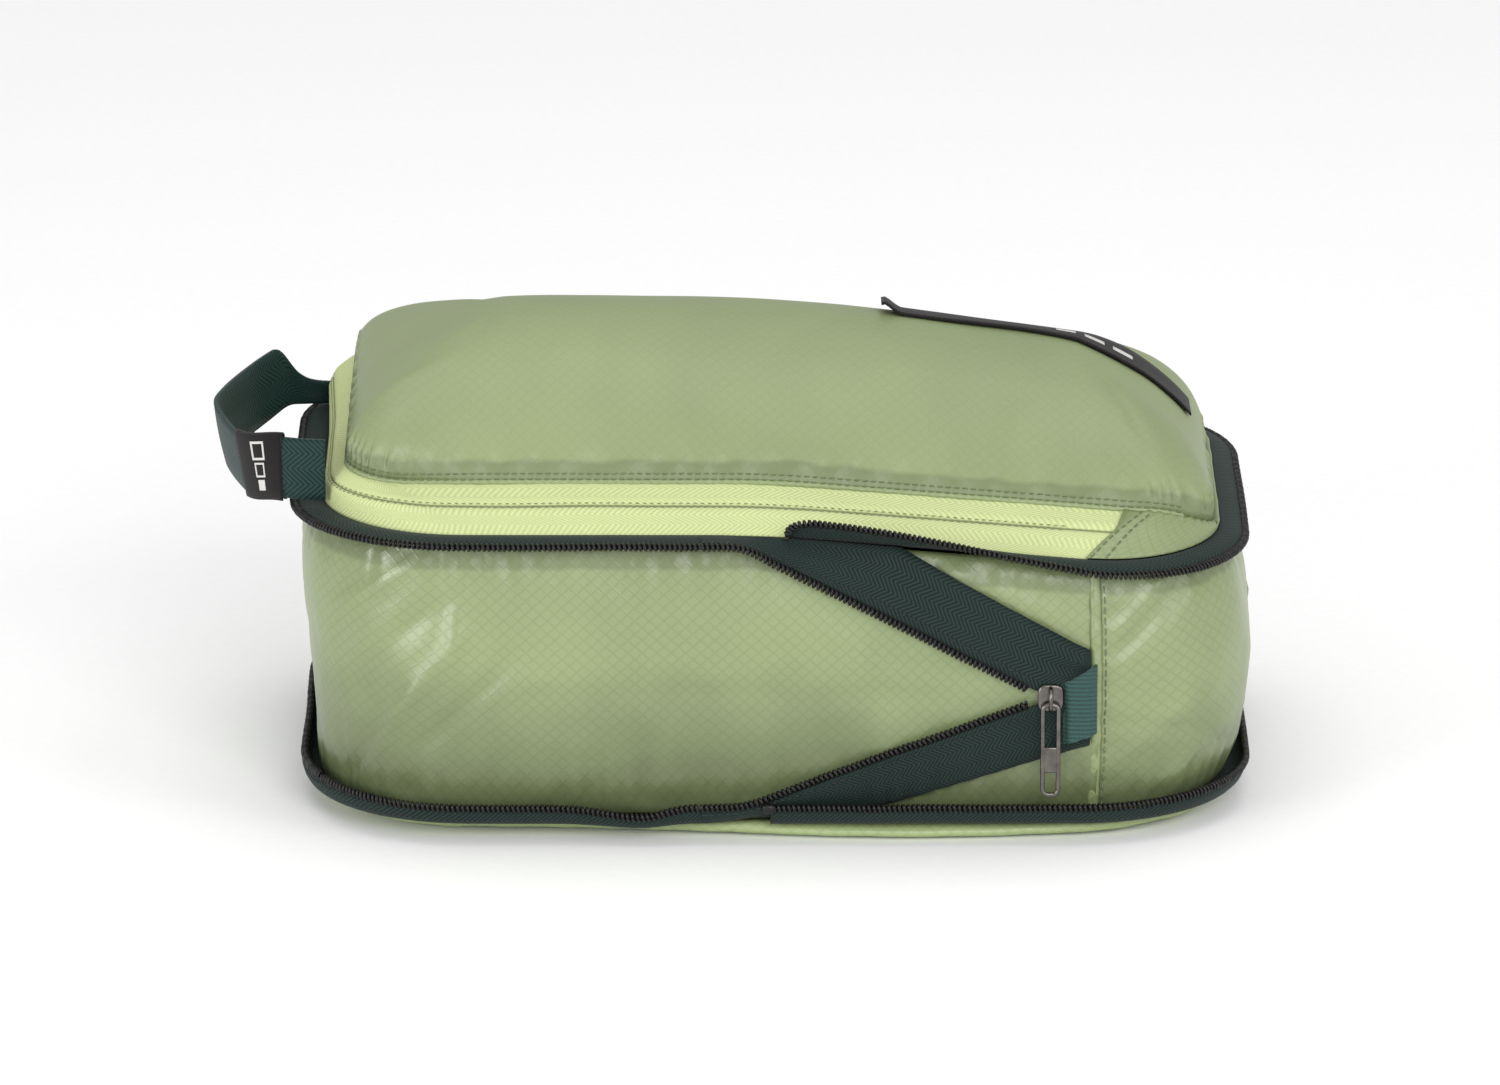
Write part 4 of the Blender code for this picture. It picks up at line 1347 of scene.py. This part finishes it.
def end_strip():
    """The lid's sewn right end: cloth from the rim to the lid's edge, which bends as the lid opens."""

    def at(across, t):
        lift = 0.2 + 0.9 * math.sin(math.pi * min(max(across, 0.0), 1.0))
        lift += 0.25 * waver(run_of(t), 9.0 * across, 9.0, 51.0)
        return band_point(t, across, lift), (run_of(t) + 400.0, across * BAND_WIDTH + 100.0)

    rows, uv = grid([mix(-0.02, 1.08, j / 14) for j in range(15)], spaced(1.86, 3.14, 1.7), at)
    obj = surface("lid_end_strip", rows, CLOTH, moss_base, None, uv)
    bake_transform(obj, "upper_rim", "lid", start=(HALF_X * MM, 0, 0), end=((LID["right"] + 1.0) * MM, 0, 0))


def corner_panels():
    for name, far_t in (("front", 1.93), ("rear", 3.07)):

        def column_t(across, i):
            cut = mix(LIME_END_RIM_T, LIME_END_LID_T, across)
            first = cut - 0.006 if name == "front" else 5.0 - cut + 0.006
            return mix(first, far_t, i / 40)

        def at(across, i):
            t = column_t(across, i)
            lift = 0.55 + 0.5 * math.sin(math.pi * across) * math.sin(math.pi * i / 40)
            lift += 0.22 * math.sin(run_of(t) * 1.05) * bell(across - 0.95, 0.25)
            return band_point(t, across, lift), (run_of(t) + 400.0, across * BAND_WIDTH + 100.0)

        shares = [j / 12 for j in range(13)]
        rows, uv = grid(shares, range(41), at)
        lines = []
        for index in (1, 4):
            line = []
            for row, across in zip(rows, shares):
                t = column_t(across, index)
                normal = (band_point(t, across, 1.0) - band_point(t, across)).normalized()
                line.append((row[index] + normal * 0.3, normal))
            lines.append(line)
        obj = surface(f"corner_cloth_{name}", rows, CLOTH, moss_base, "upper_rim", uv)
        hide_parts(f"corner_panel_{name}")
        stitches(f"corner_stitches_{name}", lines, moss_thread, "upper_rim")


# ---- handle, tag and label ----

STRAP_WIDTH = 16.5
STRAP_FLOOR = 84.6
STRAP_LEAN = 3.0


TAG_FIRST = 11
TAG_LAST = 26


def handle_path():
    half = ((-117.4, -48.6), (-126.0, -46.8), (-132.0, -42.8), (-138.2, -34.0), (-142.8, -20.5))
    half += ((-146.0, -7.2),)
    coarse = [Vector(p) for p in half] + [Vector((-146.8, 0.0))]
    coarse += [Vector((x, -y)) for x, y in reversed(half)]
    fine = []
    for i in range(len(coarse) - 1):
        before = coarse[max(i - 1, 0)]
        after = coarse[min(i + 2, len(coarse) - 1)]
        for step in range(8):
            s = step / 8
            a = coarse[i]
            b = coarse[i + 1]
            ta = (b - before) / 2
            tb = (after - a) / 2
            point = (
                a * (2 * s**3 - 3 * s**2 + 1)
                + ta * (s**3 - 2 * s**2 + s)
                + b * (-2 * s**3 + 3 * s**2)
                + tb * (s**3 - s**2)
            )
            fine.append(point)
    fine.append(coarse[-1])
    return fine


def strap_frames():
    points = handle_path()
    frames = []
    for i, point in enumerate(points):
        before = points[max(i - 1, 0)]
        after = points[min(i + 1, len(points) - 1)]
        along = (after - before).normalized()
        frames.append((point, Vector((-along.y, along.x))))
    return frames


def strap_point(point, side, share, out):
    drop = 3.2 * smooth((-point.x - 128.5) / 12.0)
    z = STRAP_FLOOR - drop + STRAP_WIDTH * share
    narrowed = smooth((point.y - 41.0) / 7.5)
    z = mix(z, 86.0 + 6.0 * (share - 0.5), narrowed)
    lean = STRAP_LEAN * (share - 0.5) * smooth((-point.x - 124.0) / 14.0)
    reach = out + lean
    return Vector((point.x + side.x * reach, point.y + side.y * reach, z))


# either side of the handle's hinge
SWING_START = (-0.1235, 0, 0)
SWING_END = (-0.1365, 0, 0)


def swing(obj):
    """Keeps the sewn ends on the rim while the loop swings."""
    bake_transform(obj, "upper_rim", "handle", start=SWING_START, end=SWING_END)


def handle():
    frames = strap_frames()
    lengths = [0.0]
    for (a, _), (b, _) in zip(frames, frames[1:]):
        lengths.append(lengths[-1] + (b - a).length)

    def strap_at(share, i):
        bow = 0.35 * math.sin(math.pi * share)
        return strap_point(*frames[i], share, bow), (lengths[i], share * STRAP_WIDTH)

    rows, uv = grid([j / 8 for j in range(9)], range(len(frames)), strap_at)
    strap = surface("strap_webbing", rows, 1.2, strap_weave, None, uv)
    swing(strap)
    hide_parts("handle_strap")
    # the tag folds over the strap's top edge
    section = [(mix(-0.06, 1.0, k / 6), 1.0) for k in range(7)]
    for k in range(1, 6):
        angle = math.radians(180.0 * k / 6)
        section.append((1.0 + 0.07 * math.sin(angle), math.cos(angle)))
    section += [(mix(1.0, -0.06, k / 6), -1.0) for k in range(7)]

    def tag_at(k, index):
        share, out = section[k]
        return strap_point(*frames[index], share, out), ((index - TAG_FIRST) * 1.6, 2.5 * k)

    rows, uv = grid(range(len(section)), range(TAG_FIRST, TAG_LAST + 1), tag_at)
    tag = surface("tag_fold", rows, 0.4, label_weave, None, uv)
    swing(tag)
    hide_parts("size_tag")
    # generic size marks: three squares in growing sizes, the first one filled
    for number, (half, middle) in enumerate(((0.09, 0.19), (0.125, 0.45), (0.16, 0.78))):
        width = half * STRAP_WIDTH
        tag_patch(f"tag_square_{number}", frames, middle, width, 0.42 if number else width)


def tag_patch(name, frames, middle, half, ring):
    """A woven square on the tag's outer face, filled or only its border."""
    along_middle = (TAG_FIRST + TAG_LAST) / 2.0
    per_index = 1.35

    def at(u, v):
        index = along_middle + u / per_index
        low = int(math.floor(index))
        share = index - low
        point = frames[low][0].lerp(frames[low + 1][0], share)
        side = frames[low][1].lerp(frames[low + 1][1], share).normalized()
        return strap_point(point, side, middle + v / STRAP_WIDTH, 1.27)

    work = bmesh.new()
    layer = work.loops.layers.uv.new("UVMap")
    count = 8
    for i in range(count):
        for j in range(count):
            u0 = mix(-half, half, i / count)
            u1 = mix(-half, half, (i + 1) / count)
            v0 = mix(-half, half, j / count)
            v1 = mix(-half, half, (j + 1) / count)
            inside = min(half - abs((u0 + u1) / 2), half - abs((v0 + v1) / 2))
            if inside > max(ring, half / count * 1.01):
                continue
            verts = [work.verts.new(at(u, v) * MM) for u, v in ((u0, v0), (u1, v0), (u1, v1), (u0, v1))]
            face = work.faces.new(verts)
            for loop, (u, v) in zip(face.loops, ((u0, v0), (u1, v0), (u1, v1), (u0, v1))):
                loop[layer].uv = (u * MM, v * MM)
    bmesh.ops.remove_doubles(work, verts=work.verts, dist=1e-6)
    obj = to_object(work, name, mark_thread, None)
    thicken(obj, 0.12)
    swing(obj)


LABEL_MIDDLE = 9.0
LABEL_END_X = 112.0


def lid_tree():
    """The finished lid, to lay the label on."""
    mesh = bpy.data.objects["lid_dome"].data
    return BVHTree.FromPolygons([v.co for v in mesh.vertices], [p.vertices[:] for p in mesh.polygons])


def label_point(tree, x, y, lift=0.0):
    curl = 2.8 * smooth((35.4 - x) / 6.0) - 0.9 * smooth((30.4 - x) / 1.2)
    spot, normal, _, _ = tree.ray_cast(Vector((x, y + LABEL_MIDDLE, 200.0)) * MM, Vector((0.0, 0.0, -1.0)))
    raised = 0.75 + 0.2 * waver(x, y, 14.0, 51.0) + lift
    return spot / MM + Vector((0.0, 0.0, curl)) + normal * math.copysign(raised, normal.z)


def label():
    tree = lid_tree()
    xs = [mix(LABEL_LOW.x - 1.2, LABEL_END_X, i / 80) for i in range(81)]
    ys = [mix(-7.5, 7.5, j / 6) for j in range(7)]
    rows, uv = grid(ys, range(81), lambda y, i: (label_point(tree, xs[i], y), (i * 1.1, y + 10.0)))
    obj = surface("label_strip", rows, 0.45, label_weave, "lid", uv)
    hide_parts("top_label")
    # three plain bars, a generic mark
    for number, x in enumerate((79.0, 86.5, 94.0)):

        def at(y, i):
            return label_point(tree, x + mix(-2.6, 2.6, i / 6), y, 0.3), (i * 0.9, y + 10.0)

        rows, uv = grid([mix(-1.3, 1.3, j / 3) for j in range(4)], range(7), at)
        surface(f"label_bar_{number}", rows, 0.12, mark_thread, "lid", uv)


def inner_bindings():
    bound = Nodes("binding_weave")
    fine = bound.noise(0.6, 3.0)
    bound.colour(bound.blend(bound.ramp(fine, 0.3, 0.7), shade(DARK, 0.8), shade(DARK, 1.6)))
    bound.roughness(0.7)
    bound.bump(fine, 0.08, 0.6)
    for node in ("rim_seam_binding", "base_seam_binding", "lid_seam_binding"):
        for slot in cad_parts[node].material_slots:
            slot.material = bound.material


# ---- the studio ----


def area_light(name, place, aim, size, power):
    data = bpy.data.lights.new(name, "AREA")
    data.shape = "RECTANGLE"
    data.size, data.size_y = size
    data.energy = power
    lamp = bpy.data.objects.new(name, data)
    lamp.location = place
    direction = Vector(aim) - Vector(place)
    lamp.rotation_euler = direction.to_track_quat("-Z", "Y").to_euler()
    bpy.context.scene.collection.objects.link(lamp)


def studio():
    scene = bpy.context.scene
    scene.view_settings.view_transform = "Standard"
    world = bpy.data.worlds.new("studio")
    scene.world = world
    world.use_nodes = True
    sky = world.node_tree.nodes["Background"]
    sky.inputs["Color"].default_value = (1.0, 1.0, 1.0, 1.0)
    sky.inputs["Strength"].default_value = 0.66
    floor_mesh = bpy.data.meshes.new("floor")
    size = 6.0
    square = [(-size, -size, 0), (size, -size, 0), (size, size, 0), (-size, size, 0)]
    floor_mesh.from_pydata(square, [], [(0, 1, 2, 3)])
    floor = bpy.data.objects.new("floor", floor_mesh)
    scene.collection.objects.link(floor)
    paper = Nodes("paper")
    grain = paper.noise(3.0, 3.0)
    paper.colour(paper.blend(paper.ramp(grain, 0.3, 0.7), (0.95, 0.95, 0.95), (0.97, 0.97, 0.97)))
    paper.roughness(0.95)
    floor_mesh.materials.append(paper.material)
    floor.location.z = -0.0004
    area_light("key", (-1.42, -1.28, 0.40), (-0.05, 0.0, 0.05), (0.8, 0.6), 14.0)
    area_light("front", (0.6, -2.1, 1.2), (0.0, 0.0, 0.05), (1.2, 0.9), 23.0)
    area_light("top", (0.0, 0.2, 1.9), (0.0, 0.0, 0.05), (1.6, 1.2), 8.0)
    area_light("side", (1.6, -0.9, 0.7), (0.1, 0.0, 0.05), (0.7, 0.9), 7.0)


def camera():
    elevation = math.radians(17.0)
    distance = 3.0
    aim = Vector((-0.0054, 0.0, 0.058))
    data = bpy.data.cameras.new("camera")
    data.sensor_width = 36.0
    data.lens = 268.0
    data.clip_end = 30.0
    obj = bpy.data.objects.new("camera", data)
    obj.location = aim + Vector((0.0, -math.cos(elevation), math.sin(elevation))) * distance
    obj.rotation_euler = (math.pi / 2 - elevation, 0.0, 0.0)
    bpy.context.scene.collection.objects.link(obj)
    bpy.context.scene.camera = obj


camera()
studio()
gusset()
bottom()
lower_zip()
upper_zip()
v_zip("upper")
v_zip("lower")
sliders()
tab()
lime_zip()
lid()
end_strip()
corner_panels()
handle()
label()
inner_bindings()
